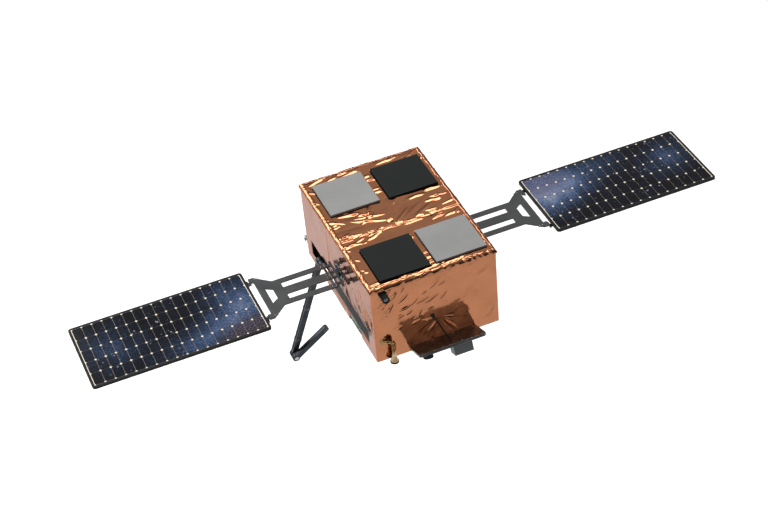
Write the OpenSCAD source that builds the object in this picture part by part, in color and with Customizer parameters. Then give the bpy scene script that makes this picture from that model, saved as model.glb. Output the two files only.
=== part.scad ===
// Twin-wing satellite with a folding service arm.
// Origin: centre of the launch ring's lower face. +Z up, -Y front, millimetres.

/* [Body] */
// Width of the body, from wing side to wing side
body_w = 510; // [500:5:640]
// Length of the body, front to rear
body_l = 726; // [650:5:900]
// Height of the body without the launch ring
body_h = 357; // [340:1:440]
// Thickness of a wall panel with its blanket
wall_t = 12; // [10:1:14]
// Distance of the top seam ahead of the middle
seam_ahead = 52; // [0:1:100]
// Width of the open seam between the two top panels
seam_gap = 0.4; // [0.2:0.1:0.6]
// Diameter of the propellant tank that joins the decks
tank_d = 300; // [200:5:340]

/* [Launch ring] */
// Height of the ring under the deck
ring_h = 50; // [40:1:80]
// Bolt circle of the ring
ring_bolt_d = 381; // [381, 298.5]
// Number of bolts
ring_bolts = 24; // [12, 24]
// Bolt hole diameter
ring_hole_d = 6.8; // [6.4:0.1:7.2]
// Thickness of the ring's two flanges
ring_flange_t = 8; // [6:1:10]
// Width of the flange on each side of the bolt circle
ring_edge = 12; // [10:1:14]
// Thickness of the ring's web
ring_web_t = 4; // [3:0.5:5]

/* [Top patches] */
// Side of one square patch
patch_w = 206; // [180:1:220]
// Thickness of one patch
patch_t = 8; // [5:1:12]
// Height of the feet under a patch
patch_foot_h = 2; // [1:0.5:6]
// Diameter of a patch foot
patch_foot_d = 16; // [10:1:24]

/* [Wings] */
// Height of the wing axis above the deck
wing_up = 185; // [180:1:220]
// Distance of the wing axis ahead of the middle
wing_ahead = 15; // [0:1:30]
// Length of a solar panel along the wing
panel_l = 709; // [600:1:900]
// Width of a solar panel
panel_w = 358; // [330:1:400]
// Thickness of a solar panel with its rim
panel_t = 10; // [8:1:14]
// Corner radius of a solar panel
panel_r = 12; // [6:1:20]
// Width of the rim around the cells
panel_rim = 10; // [6:1:14]
// Thickness of the cell sheet
sheet_t = 0.8; // [0.6:0.1:1.2]
// Depth of the cell sheet's top below the rim's top
sheet_sunk = 0.4; // [0.2:0.1:0.6]
// Distance from the body's side to the panel's near edge
panel_out = 347; // [347:1:400]
// Thickness of the yoke plate
yoke_t = 6; // [4:1:8]
// Width of an outer yoke bar
bar_w = 25; // [18:1:30]
// Width of the middle yoke bar
mid_bar_w = 42; // [36:1:50]
// Clear width of a slot between two bars
slot_w = 30; // [24:1:34]
// Length of the bars' slots
slot_l = 182; // [150:1:190]
// Width of the yoke's head
head_w = 258; // [240:1:280]
// Length of the sloped sides of the head
flare_l = 59; // [50:1:70]
// Width of a lug that carries the panel
lug_w = 28; // [24:1:34]

/* [Wing hinges] */
// Distance of the fold hinge from the body's side
fold_out = 37; // [37:1:50]
// Radius of a fold hinge knuckle
knuckle_r = 7; // [6:0.5:8]
// Radius of the fold hinge pin
fold_pin_r = 3; // [2.5:0.5:4]
// Radius of a panel hinge knuckle
panel_knuckle_r = 4.5; // [4:0.5:5]
// Radius of a panel hinge pin
panel_pin_r = 2; // [1.5:0.5:2.5]
// Depth of the panel hinge below the yoke's middle
panel_hinge_down = 11; // [11:0.5:14]
// Side gap between two knuckles
knuckle_gap = 1; // [0.5:0.5:2]
// Radial clearance of every pin and shaft
fit = 0.06; // [0.03:0.01:0.1]
// Radius of the wing drive's shaft
drive_shaft_r = 18; // [14:1:24]
// Radius of the wing drive's flange
drive_flange_r = 42; // [36:1:50]

/* [Service arm] */
// Distance of the shoulder from the body's side
shoulder_out = 5; // [5:0.5:8]
// Distance of the shoulder behind the middle
shoulder_back = 200; // [180:1:240]
// Height of the shoulder above the deck
shoulder_up = 73.5; // [72:0.5:76]
// Shoulder to elbow
upper_l = 469.6; // [400:0.1:480]
// Elbow to wrist end
fore_l = 186; // [150:1:240]
// Width of a link, across the arm's plane
link_w = 24; // [20:1:25]
// Thickness of a link
link_t = 20; // [16:1:20]
// Gap between two links side by side
link_gap = 5; // [5:0.5:6]
// Radius of a link's round end
link_end_r = 16; // [14:1:16]
// Radius of the arm's pins
arm_pin_r = 6; // [4:0.5:8]
// Angle of the upper arm from straight down
lift_rest = 20.4; // [15:0.1:60]
// Angle of the forearm from straight up
fore_rest = 54.4; // [40:0.1:90]
// Length of the end fitting on the forearm
tip_l = 24; // [16:1:40]

/* [Arm stowage] */
// Height of the opening in the left wall
bay_h = 68; // [66:1:74]
// Lower edge of the opening above the deck
bay_up = 39; // [36:1:40]
// Depth of the cradle that the folded arm lies in
cradle_d = 17; // [16:1:19]
// Sheet thickness of the cradle and the shoulder bay
liner_t = 3; // [2:0.5:4]
// Depth of the shoulder bay inside the wall
bay_d = 54; // [48:1:70]
// Length of the shoulder bay ahead of the shoulder
bay_ahead = 40; // [36:1:50]
// Length of the shoulder bay behind the shoulder
bay_behind = 110; // [80:1:120]
// Width of the notch that the hanging arm passes
notch_w = 80; // [70:1:80]
// Length of the connector board
board_l = 118; // [80:1:140]
// Thickness of the connector board
board_t = 3; // [2:0.5:3]
// Distance of the board's front end from the body's middle
board_ahead = 206; // [150:1:210]

/* [Front instruments] */
// Width of the sensor shelf
shelf_w = 276; // [220:1:320]
// Length of the shelf from the wall to its front edge
shelf_l = 118; // [90:1:150]
// Thickness of the shelf
shelf_t = 12; // [8:1:14]
// Upward tilt of the shelf
shelf_tilt = 22; // [0:1:30]
// Sideways place of the shelf's middle
shelf_x = 16; // [-20:1:40]
// Height of the shelf's rear edge above the deck
shelf_up = 24; // [20:1:60]
// Cut on the shelf's front corners
shelf_cut = 8; // [4:1:16]
// Sensor box width
box_w = 78; // [60:1:90]
// Sensor box depth
box_d = 46; // [30:1:60]
// Sensor box height
box_h = 41; // [30:1:60]
// Sideways place of the box's left side from the shelf's middle
box_x = 0; // [-20:1:40]
// Radius of the round sensor under the shelf
puck_r = 20; // [14:1:24]
// Height of the round sensor
puck_h = 14; // [8:1:24]
// Radius of the shelf's stay
stay_r = 3.5; // [3:0.5:5]
// Radius of the sun sensor
sun_r = 14.5; // [10:0.5:18]
// Length of the sun sensor
sun_l = 36; // [20:1:50]

/* [Thrusters] */
// Radius of a thruster's feed pipe
pipe_r = 11; // [8:0.5:12]
// Radius of a nozzle's open end
nozzle_r = 17.8; // [14:0.2:20]
// Length of the smooth nozzle
nozzle_l = 60; // [40:1:80]
// Length of the ribbed part above the nozzle
ribs_l = 41; // [30:1:60]
// Number of ribs
ribs = 4; // [3:1:8]
// Wall thickness of a nozzle
nozzle_t = 1.6; // [1.2:0.2:2]

/* [Hidden] */
$fn = 96;

copper = [0.72, 0.46, 0.32];
carbon = [0.24, 0.25, 0.25];
silver = [0.75, 0.75, 0.76];
tiny = 0.5;

// Faces of the body
side = body_w / 2;
front = -body_l / 2;
rear = body_l / 2;
deck_z = ring_h;
top_z = deck_z + body_h;
wing_y = -wing_ahead;
wing_z = deck_z + wing_up;

// Yoke, measured from the middle of the body
fold_x = side + fold_out;
panel_x = side + panel_out;
knuckle_room = knuckle_r + 1;
bars_w = mid_bar_w + 2 * slot_w + 2 * bar_w;
bar_y = mid_bar_w / 2 + slot_w;
head_slot = 22.5;
head_x = panel_x - 2.5 - head_slot;
flare_end = head_x - 6.5;
flare_x = flare_end - flare_l;
slot_end = fold_x + knuckle_room + slot_l;
hole_x = flare_x + 11;
hole_l = 26.5;
hole_near_w = 58;
hole_far_w = 94;
panel_hinge_x = panel_x - 5;
ear_l = 12;

// Arm
shoulder = [-side - shoulder_out, shoulder_back, deck_z + shoulder_up];
lap = (link_t + link_gap) / 2;
elbow = shoulder + upper_l * [-sin(lift_rest), 0, -cos(lift_rest)];
bay_z = deck_z + bay_up;
arm_clear = 5.5;
cradle_front = shoulder[1] - upper_l - link_end_r - arm_clear;
cradle_rear = shoulder[1] - bay_ahead - liner_t;
bay_front = shoulder[1] - bay_ahead;
bay_rear = shoulder[1] + bay_behind;
bay_x = side - wall_t;
turret_r = 22;
turret_x = bay_x - 5;
turret_l = 12;
turret_shaft_r = 9;
turret_shaft_l = 22;
drive_gap = 1;
pin_head_t = 2;
pin_head_r = arm_pin_r + 3;

// Wing drive
drive_flange_t = 4;
drive_barrel_r = 30;
drive_barrel_l = 32;
root_gap = 5.5;
root_beam_x = side + drive_flange_t + root_gap;
root_beam_l = 9.5;
root_beam_t = 12;

// Nozzle outline
throat_r = pipe_r - 1;
elbow_r = pipe_r + 1;
rear_collar_l = elbow_r + 2;
flange_t = 4;
flange_r = 17;
front_pipe_x = -side + 61;
front_pipe_y = front - 22;
front_pipe_z = deck_z + 97;
front_flange_x = -side + 31;
rear_pipe_x = -side + 55;
rear_pipe_y = rear + 37;
rear_pipe_z = deck_z + 47;
rear_nozzle_l = 40;
rear_nozzle_r = 20.5;

// Distance of each patch from the body's side and end
rear_left_in = [33.5, 45];
rear_right_in = [24, 51];
front_left_in = [52.5, 29];
front_right_in = [19, 32];
patch_foot_in = 24;

// Sun sensor, stay and round sensor
sun_in = 47;
sun_down = 33;
sun_lip = 3.5;
stay_foot_y = 84;
stay_foot_x = 6;
stay_head_x = -34;
stay_head_up = 143;
stay_pad_r = 9;
puck_in = 36;
puck_setback = 2;

// ---------- shapes used more than once ----------

module round_plate(l, w, h, r) {
  linear_extrude(h) union() {
    translate([r, -w / 2]) square([l - 2 * r, w]);
    translate([0, -w / 2 + r]) square([l, w - 2 * r]);
    for (x = [r, l - r], y = [-w / 2 + r, w / 2 - r])
      translate([x, y]) circle(r);
  }
}

module rod_y(r, l) rotate([90, 0, 0]) cylinder(r = r, h = l, center = true);

module rod_x(r, l) rotate([0, 90, 0]) cylinder(r = r, h = l);

module bar_between(a, b, r) {
  d = b - a;
  len = norm(d);
  translate(a)
    rotate([0, acos(d[2] / len), atan2(d[1], d[0])])
      cylinder(r = r, h = len);
}

module nozzle(l, r_in, r_out) {
  rotate_extrude() polygon([
    [r_in - nozzle_t, 0], [r_in, 0], [r_in + 0.4, -l * 0.4],
    [r_in + (r_out - r_in) * 0.45, -l * 0.72], [r_out, -l],
    [r_out - nozzle_t, -l],
    [r_in + (r_out - r_in) * 0.45 - nozzle_t, -l * 0.72],
    [r_in + 0.4 - nozzle_t, -l * 0.4]]);
}

module ribbed_pipe(l, n) {
  pitch = l / n;
  cylinder(r = throat_r, h = l);
  for (i = [0:n - 1])
    translate([0, 0, (i + 0.5) * pitch - pitch / 4])
      cylinder(r = pipe_r + 0.8, h = pitch / 2);
}

module at_wing(right) {
  translate([0, wing_y, wing_z]) mirror([right ? 0 : 1, 0, 0]) children();
}

// ---------- body ----------

module top_panel(y0, y1) {
  color(copper)
    translate([-side, y0, top_z - wall_t]) cube([body_w, y1 - y0, wall_t]);
}

module top_panel_front() top_panel(front, -seam_ahead - seam_gap / 2);

module top_panel_rear() top_panel(-seam_ahead + seam_gap / 2, rear);

module end_wall(y0) {
  color(copper)
    translate([-side, y0, deck_z]) cube([body_w, wall_t, body_h - wall_t]);
}

module front_wall() end_wall(front);

module rear_wall() end_wall(rear - wall_t);

module side_wall() {
  difference() {
    translate([side - wall_t, front + wall_t, deck_z])
      cube([wall_t, body_l - 2 * wall_t, body_h - wall_t]);
    translate([side - 2 * wall_t, wing_y, wing_z])
      rod_x(drive_barrel_r + 0.3, 3 * wall_t);
  }
}

module right_wall() color(copper) side_wall();

module left_wall() {
  board_cut = board_t + 1;
  color(copper) difference() {
    mirror([1, 0, 0]) side_wall();
    translate([-side - tiny, cradle_front, bay_z])
      cube([wall_t + 2 * tiny, bay_rear - cradle_front, bay_h]);
    translate([-side - tiny, shoulder[1] - notch_w / 2, deck_z - tiny])
      cube([wall_t + 2 * tiny, notch_w, bay_up + 2 * tiny]);
    translate([-side - tiny, -board_ahead, deck_z - tiny])
      cube([board_cut + tiny, board_l, bay_up - liner_t + tiny]);
  }
}

module bottom_deck() {
  color(copper)
    translate([-side + wall_t, front + wall_t, deck_z])
      cube([body_w - 2 * wall_t, body_l - 2 * wall_t, wall_t]);
}

module propellant_tank() {
  color(silver)
    translate([0, 0, deck_z + wall_t])
      cylinder(d = tank_d, h = body_h - 2 * wall_t);
}

module adapter_ring() {
  outer = ring_bolt_d / 2 + ring_edge;
  inner = ring_bolt_d / 2 - ring_edge;
  color(silver) difference() {
    cylinder(r = outer, h = ring_h);
    translate([0, 0, -tiny]) cylinder(r = inner, h = ring_h + 2 * tiny);
    translate([0, 0, ring_flange_t])
      cylinder(r = outer - ring_web_t, h = ring_h - 2 * ring_flange_t);
    for (i = [0:ring_bolts - 1])
      rotate((i + 0.5) * 360 / ring_bolts)
        translate([ring_bolt_d / 2, 0, -tiny])
          cylinder(d = ring_hole_d, h = ring_flange_t + 2 * tiny);
  }
}

// ---------- arm stowage ----------

module arm_cradle() {
  depth = cradle_d + liner_t;
  color("dimgray") difference() {
    translate([-side, cradle_front, bay_z])
      cube([depth, cradle_rear - cradle_front, bay_h]);
    translate([-side - tiny, cradle_front - tiny, bay_z + liner_t])
      cube([cradle_d + tiny, cradle_rear - cradle_front + 2 * tiny,
            bay_h - 2 * liner_t]);
  }
}

module arm_bay() {
  l = bay_rear - bay_front;
  color([0.12, 0.11, 0.1]) difference() {
    translate([-bay_x, bay_front - liner_t, bay_z - liner_t])
      cube([bay_d + liner_t, l + 2 * liner_t, bay_h + 2 * liner_t]);
    translate([-bay_x - tiny, bay_front, bay_z])
      cube([bay_d + tiny, l, bay_h]);
  }
}

module service_board() {
  gap = 1;
  color("darkgreen")
    translate([-side + gap, -board_ahead + gap, deck_z])
      cube([board_t, board_l - 2 * gap, bay_up - liner_t - gap]);
}

// ---------- top patches ----------

// A patch at the given distances in from the body's side u and end v
module patch(u, v, inset, tint) {
  x = u * (side - inset[0] - patch_w / 2);
  y = v * (rear - inset[1] - patch_w / 2);
  color(tint) translate([x, y, top_z]) {
    translate([-patch_w / 2, -patch_w / 2, patch_foot_h])
      cube([patch_w, patch_w, patch_t]);
    for (a = [-1, 1], b = [-1, 1])
      translate([a, b, 0] * (patch_w / 2 - patch_foot_in))
        cylinder(d = patch_foot_d, h = patch_foot_h);
  }
}

module patch_rear_left() patch(-1, 1, rear_left_in, "darkgray");

module patch_rear_right() patch(1, 1, rear_right_in, "#303231");

module patch_front_left() patch(-1, -1, front_left_in, "#303231");

module patch_front_right() patch(1, -1, front_right_in, "darkgray");

// ---------- front and rear fittings ----------

module sun_sensor() {
  recess = 5;
  color("#3a3b3c") translate([-side + sun_in, front, top_z - sun_down])
    rotate([90, 0, 0]) difference() {
      union() {
        cylinder(r = sun_r, h = sun_l);
        cylinder(r = sun_r + sun_lip, h = sun_lip);
      }
      translate([0, 0, sun_l - recess])
        cylinder(r = sun_r - recess / 2, h = recess + tiny);
    }
}

module front_thruster() {
  color("#8a6a3c") difference() {
    union() {
      translate([front_flange_x, front, front_pipe_z])
        rotate([90, 0, 0]) cylinder(r = flange_r, h = flange_t);
      bar_between([front_flange_x, front, front_pipe_z],
                  [front_pipe_x, front_pipe_y, front_pipe_z], throat_r);
      translate([front_pipe_x, front_pipe_y, front_pipe_z]) sphere(elbow_r);
      translate([front_pipe_x, front_pipe_y, front_pipe_z - ribs_l])
        ribbed_pipe(ribs_l, ribs);
    }
    translate([front_flange_x - 2 * flange_r, front,
               front_pipe_z - 2 * flange_r])
      cube(4 * flange_r);
  }
}

module front_nozzle() {
  color("#c9b07a")
    translate([front_pipe_x, front_pipe_y, front_pipe_z - ribs_l])
      nozzle(nozzle_l, throat_r, nozzle_r);
}

module rear_thruster() {
  color("#8a6a3c") translate([rear_pipe_x, rear, rear_pipe_z]) {
    rotate([-90, 0, 0]) cylinder(r = flange_r, h = flange_t);
    rotate([-90, 0, 0]) cylinder(r = throat_r, h = rear_pipe_y - rear);
    translate([0, rear_pipe_y - rear, 0]) sphere(elbow_r);
    translate([-rear_collar_l, rear_pipe_y - rear, 0])
      rod_x(throat_r, rear_collar_l);
  }
}

module rear_nozzle() {
  color("silver")
    translate([rear_pipe_x - rear_collar_l, rear_pipe_y, rear_pipe_z])
      rotate([0, 90, 0]) nozzle(rear_nozzle_l, throat_r, rear_nozzle_r);
}

module on_shelf() {
  translate([shelf_x, front, deck_z + shelf_up])
    rotate([-shelf_tilt, 0, 0]) children();
}

module sensor_shelf() {
  w = shelf_w / 2;
  back = 8;
  color("#3a322d") difference() {
    on_shelf() translate([0, 0, -shelf_t]) linear_extrude(shelf_t)
      polygon([[-w, back], [-w, shelf_cut - shelf_l],
               [shelf_cut - w, -shelf_l], [w - shelf_cut, -shelf_l],
               [w, shelf_cut - shelf_l], [w, back]]);
    translate([shelf_x - shelf_w, front, deck_z])
      cube([2 * shelf_w, 4 * back, body_h / 2]);
  }
}

module shelf_stay() {
  foot = [shelf_x + stay_foot_x, front - stay_foot_y * cos(shelf_tilt),
          deck_z + shelf_up + stay_foot_y * sin(shelf_tilt)];
  head = [shelf_x + stay_head_x, front, deck_z + stay_head_up];
  color("#2c2420") difference() {
    union() {
      bar_between(head, foot, stay_r);
      translate(head) rotate([90, 0, 0]) cylinder(r = stay_pad_r, h = 3);
    }
    on_shelf() translate([-shelf_w / 2, -shelf_l, -3 * shelf_t])
      cube([shelf_w, shelf_l, 3 * shelf_t]);
    translate(head - [2, 0, 2] * stay_pad_r) cube(4 * stay_pad_r);
  }
}

module sensor_box() {
  setback = 6;
  color("#565b5b") on_shelf()
    translate([box_x, -shelf_l + setback, -shelf_t - box_h])
      cube([box_w, box_d, box_h]);
}

module round_sensor() {
  color("#2f3536") on_shelf()
    translate([-shelf_w / 2 + puck_in, puck_r - puck_setback - shelf_l,
               -shelf_t - puck_h])
      cylinder(r = puck_r, h = puck_h);
}

// ---------- wings ----------

module wing_drive() {
  color("#4a4c4d") difference() {
    union() {
      translate([side, 0, 0]) rod_x(drive_flange_r, drive_flange_t);
      translate([side - drive_barrel_l, 0, 0])
        rod_x(drive_barrel_r, drive_barrel_l);
    }
    translate([side - drive_barrel_l - tiny, 0, 0])
      rod_x(drive_shaft_r + fit, drive_barrel_l + drive_flange_t + 2 * tiny);
  }
}

// One knuckle on the fold axis, with its web towards the given side
module knuckle(y0, y1, reach) {
  translate([fold_x, (y0 + y1) / 2, 0]) rod_y(knuckle_r, y1 - y0);
  translate([reach < 0 ? fold_x + reach : fold_x, y0, -yoke_t / 2])
    cube([abs(reach), y1 - y0, yoke_t]);
}

module fold_bore(r) {
  translate([fold_x, 0, 0]) rod_y(r, bars_w + 2);
}

module wing_root() {
  stub = fold_x - root_beam_x - root_beam_l + tiny;
  half = (bar_w - knuckle_gap) / 2;
  side_half = (mid_bar_w / 2 - knuckle_gap) / 2;
  color(carbon) difference() {
    union() {
      translate([side - drive_barrel_l, 0, 0])
        rod_x(drive_shaft_r, drive_barrel_l + root_beam_x - side + tiny);
      translate([root_beam_x, -bars_w / 2, -root_beam_t / 2])
        cube([root_beam_l, bars_w, root_beam_t]);
      knuckle(bar_y, bar_y + half, -stub);
      knuckle(-bar_y - half, -bar_y, -stub);
      knuckle(mid_bar_w / 2 - side_half, mid_bar_w / 2, -stub);
      knuckle(-mid_bar_w / 2, side_half - mid_bar_w / 2, -stub);
    }
    fold_bore(fold_pin_r + fit);
  }
}

module fold_pin() {
  color(silver) {
    translate([fold_x, 0, 0]) rod_y(fold_pin_r, bars_w);
    for (s = [-1, 1])
      translate([fold_x, s * (bars_w / 2 + 1), 0]) rod_y(fold_pin_r + 1.5, 2);
  }
}

module yoke() {
  half = (bar_w - knuckle_gap) / 2;
  mid_half = mid_bar_w / 4 - knuckle_gap / 2;
  x0 = fold_x + knuckle_room;
  color(carbon) difference() {
    union() {
      translate([0, 0, -yoke_t / 2]) linear_extrude(yoke_t) difference() {
        yoke_outline(x0);
        for (s = [-1, 1])
          translate([x0 - tiny, s > 0 ? mid_bar_w / 2 : -bar_y])
            square([slot_end - x0 + tiny, slot_w]);
        polygon([[hole_x, -hole_near_w / 2],
                 [hole_x + hole_l, -hole_far_w / 2],
                 [hole_x + hole_l, hole_far_w / 2],
                 [hole_x, hole_near_w / 2]]);
      }
      knuckle(bar_y + bar_w - half, bar_y + bar_w, knuckle_room + tiny);
      knuckle(-bar_y - bar_w, half - bar_y - bar_w, knuckle_room + tiny);
      knuckle(-mid_half, mid_half, knuckle_room + tiny);
      for (s = [-1, 1]) yoke_ear(s);
    }
    fold_bore(fold_pin_r + fit);
    panel_bore(panel_pin_r + fit);
  }
}

module yoke_outline(x0) {
  b = bars_w / 2;
  h = head_w / 2;
  lug = h - lug_w;
  end = panel_hinge_x - panel_knuckle_r - 1;
  polygon([[x0, -b], [flare_x, -b], [flare_end, -h], [end, -h],
           [end, -lug], [head_x, -lug], [head_x, lug], [end, lug],
           [end, h], [flare_end, h], [flare_x, b], [x0, b]]);
}

// Middle of a lug, and the two knuckles that share it
lug_y = head_w / 2 - lug_w / 2;
lug_knuckle = (lug_w - knuckle_gap) / 2;

module yoke_ear(s) {
  y0 = s > 0 ? lug_y - lug_w / 2 : -lug_y + lug_w / 2 - lug_knuckle;
  translate([panel_hinge_x, y0 + lug_knuckle / 2, -panel_hinge_down])
    rod_y(panel_knuckle_r, lug_knuckle);
  translate([panel_hinge_x - ear_l, y0, -panel_hinge_down])
    cube([ear_l, lug_knuckle, panel_hinge_down - yoke_t / 2 + tiny]);
}

module panel_bore(r) {
  for (s = [-1, 1])
    translate([panel_hinge_x, s * lug_y, -panel_hinge_down])
      rod_y(r, lug_w + 2);
}

module panel_pins() {
  color(silver) for (s = [-1, 1])
    translate([panel_hinge_x, s * lug_y, -panel_hinge_down])
      rod_y(panel_pin_r, lug_w);
}

module panel() {
  pocket = sheet_t + sheet_sunk;
  color("#3b3d3f") difference() {
    union() {
      translate([panel_x, 0, -panel_t / 2])
        round_plate(panel_l, panel_w, panel_t, panel_r);
      for (s = [-1, 1]) panel_ear(s);
    }
    translate([panel_x + panel_rim, -panel_w / 2 + panel_rim,
               panel_t / 2 - pocket])
      cube([panel_l - 2 * panel_rim, panel_w - 2 * panel_rim, pocket + 1]);
    panel_bore(panel_pin_r + fit);
  }
}

module panel_ear(s) {
  y0 = s > 0 ? lug_y + lug_w / 2 - lug_knuckle : -lug_y - lug_w / 2;
  translate([panel_hinge_x, y0 + lug_knuckle / 2, -panel_hinge_down])
    rod_y(panel_knuckle_r, lug_knuckle);
  translate([panel_hinge_x, y0, -panel_hinge_down])
    cube([ear_l + panel_x - panel_hinge_x, lug_knuckle,
          panel_hinge_down - panel_t / 2 + tiny]);
}

module cell_sheet() {
  color("#22304a")
    translate([panel_x + panel_rim, -panel_w / 2 + panel_rim,
               panel_t / 2 - sheet_sunk - sheet_t])
      cube([panel_l - 2 * panel_rim, panel_w - 2 * panel_rim, sheet_t]);
}

module left_wing_drive() at_wing(false) wing_drive();

module right_wing_drive() at_wing(true) wing_drive();

module left_wing_root() at_wing(false) wing_root();

module right_wing_root() at_wing(true) wing_root();

module left_fold_pin() at_wing(false) fold_pin();

module right_fold_pin() at_wing(true) fold_pin();

module left_yoke() at_wing(false) yoke();

module right_yoke() at_wing(true) yoke();

module left_panel_pins() at_wing(false) panel_pins();

module right_panel_pins() at_wing(true) panel_pins();

module left_panel() at_wing(false) panel();

module right_panel() at_wing(true) panel();

module left_cell_sheet() at_wing(false) cell_sheet();

module right_cell_sheet() at_wing(true) cell_sheet();

// ---------- service arm ----------

module shoulder_drive() {
  x0 = -bay_x + bay_d;
  x1 = -turret_x + turret_l + drive_gap;
  color("#4a4c4d") translate([0, shoulder[1], shoulder[2]]) difference() {
    translate([x1, 0, 0]) rod_x(turret_r + 2, x0 - x1);
    translate([x1 - tiny, 0, 0])
      rod_x(turret_shaft_r + fit, turret_shaft_l + 1);
  }
}

module arm_turret() {
  face = -turret_x;
  color("#3d4143") difference() {
    union() {
      translate([face, shoulder[1], shoulder[2]]) {
        rod_x(turret_r, turret_l);
        rod_x(turret_shaft_r, turret_l + turret_shaft_l);
      }
      translate([shoulder[0], shoulder[1] - lap - link_t / 2,
                 shoulder[2] - link_w / 2])
        cube([face - shoulder[0] + tiny, link_t, link_w]);
      translate(shoulder - [0, lap, 0]) rod_y(link_end_r, link_t);
    }
    translate(shoulder) rod_y(arm_pin_r + fit, 4 * link_t);
  }
}

module arm_pin(at) {
  l = 2 * lap + link_t;
  color(silver) translate(at) {
    rod_y(arm_pin_r, l);
    for (s = [-1, 1])
      translate([0, s * (l + pin_head_t) / 2, 0])
        rod_y(pin_head_r, pin_head_t);
  }
}

module shoulder_pin() arm_pin(shoulder);

module elbow_pin() arm_pin(elbow);

// A link from its pin to another round end, along +Z
module link(l, far_end) {
  difference() {
    union() {
      translate([-link_w / 2, -link_t / 2, 0]) cube([link_w, link_t, l]);
      rod_y(link_end_r, link_t);
      if (far_end) translate([0, 0, l]) rod_y(link_end_r, link_t);
    }
    rod_y(arm_pin_r + fit, 2 * link_t);
    if (far_end) translate([0, 0, l]) rod_y(arm_pin_r + fit, 2 * link_t);
  }
}

module upper_arm() {
  color("#33383a") translate(shoulder + [0, lap, 0])
    rotate([0, 180 + lift_rest, 0]) link(upper_l, true);
}

module at_forearm() {
  translate(elbow - [0, lap, 0]) rotate([0, fore_rest, 0]) children();
}

module forearm() color("#3d4143") at_forearm() link(fore_l - tip_l, false);

module arm_tip() {
  cut = 6;
  color("#4d5254") at_forearm() translate([0, 0, fore_l - tip_l])
    translate([0, link_t / 2, 0]) rotate([90, 0, 0]) linear_extrude(link_t)
      polygon([[-link_w / 2, 0], [-link_w / 2, tip_l - cut],
               [cut - link_w / 2, tip_l], [link_w / 2 - cut, tip_l],
               [link_w / 2, tip_l - cut], [link_w / 2, 0]]);
}

top_panel_front();
top_panel_rear();
front_wall();
rear_wall();
right_wall();
left_wall();
bottom_deck();
propellant_tank();
adapter_ring();
arm_cradle();
arm_bay();
service_board();
patch_rear_left();
patch_rear_right();
patch_front_left();
patch_front_right();
sun_sensor();
front_thruster();
front_nozzle();
rear_thruster();
rear_nozzle();
sensor_shelf();
shelf_stay();
sensor_box();
round_sensor();
left_wing_drive();
right_wing_drive();
left_wing_root();
right_wing_root();
left_fold_pin();
right_fold_pin();
left_yoke();
right_yoke();
left_panel_pins();
right_panel_pins();
left_panel();
right_panel();
left_cell_sheet();
right_cell_sheet();
shoulder_drive();
arm_turret();
shoulder_pin();
upper_arm();
elbow_pin();
forearm();
arm_tip();
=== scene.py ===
"""Looks of a twin-wing satellite with a folding service arm, as an add-on.

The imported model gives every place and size. Lengths in the code are in
millimetres until a mesh is made, and in metres after that.
"""
import math

import bmesh
import bpy
import numpy as np
from bpy.props import (FloatProperty, FloatVectorProperty, IntProperty,
                       PointerProperty)
from mathutils import Matrix, Vector


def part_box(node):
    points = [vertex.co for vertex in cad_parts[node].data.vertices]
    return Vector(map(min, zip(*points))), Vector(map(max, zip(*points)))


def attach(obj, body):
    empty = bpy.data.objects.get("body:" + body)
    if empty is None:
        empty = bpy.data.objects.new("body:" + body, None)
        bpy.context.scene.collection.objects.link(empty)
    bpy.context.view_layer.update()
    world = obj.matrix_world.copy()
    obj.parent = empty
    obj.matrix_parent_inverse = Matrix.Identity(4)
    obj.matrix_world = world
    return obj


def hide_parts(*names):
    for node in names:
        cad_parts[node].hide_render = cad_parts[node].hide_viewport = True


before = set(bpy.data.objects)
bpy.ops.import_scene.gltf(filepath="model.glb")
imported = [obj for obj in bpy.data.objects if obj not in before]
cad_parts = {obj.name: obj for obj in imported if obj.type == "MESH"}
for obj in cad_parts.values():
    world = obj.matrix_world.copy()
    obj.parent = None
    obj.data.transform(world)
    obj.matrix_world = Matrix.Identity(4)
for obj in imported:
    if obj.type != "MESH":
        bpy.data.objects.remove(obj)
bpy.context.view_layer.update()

bl_info = {
    "name": "Satellite looks",
    "version": (1, 0, 0),
    "blender": (4, 5, 0),
    "location": "View3D > Sidebar > Satellite",
    "description": "Film blankets, cells, fittings and studio for a satellite",
    "category": "Object",
}

MM = 0.001
SIDES = {"left": -1, "right": 1}


def linear(code):
    """A colour as linear numbers, from an sRGB hex code such as "#b87a5a"."""
    parts = [int(code[i:i + 2], 16) / 255 for i in (1, 3, 5)]
    return [p / 12.92 if p <= 0.04045 else ((p + 0.055) / 1.055) ** 2.4
            for p in parts]


def box_mm(node):
    """Lowest and highest corner of a CAD node in millimetres."""
    return [np.array(corner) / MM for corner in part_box(node)]


# ---------- settings ----------

def colour(name, description, code):
    """A colour setting whose default is an sRGB hex code."""
    return FloatVectorProperty(name=name, description=description,
                               subtype="COLOR", size=3, min=0, max=1,
                               default=linear(code))


def length(name, description, mm):
    """A length setting whose default is in millimetres."""
    return FloatProperty(name=name, description=description, unit="LENGTH",
                         subtype="DISTANCE", default=mm * MM, min=0)


class BlanketSettings(bpy.types.PropertyGroup):
    film: colour("Film", "Colour of the aluminised film", "#ab7252")
    stand_off: length("Stand-off", "Film's distance from its panel", 2.5)
    edge_radius: length("Edge radius", "Radius of the film's folded edges", 4)
    fine_step: length("Fine step", "Film's mesh step in front and on top", 2)
    plain_step: length("Plain step", "Film's mesh step elsewhere", 3.4)
    hem_in: length("Hem on top", "Width of the taped hem on the top", 13)
    hem_down: length("Hem down", "Width of the taped hem on the sides", 15)


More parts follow.
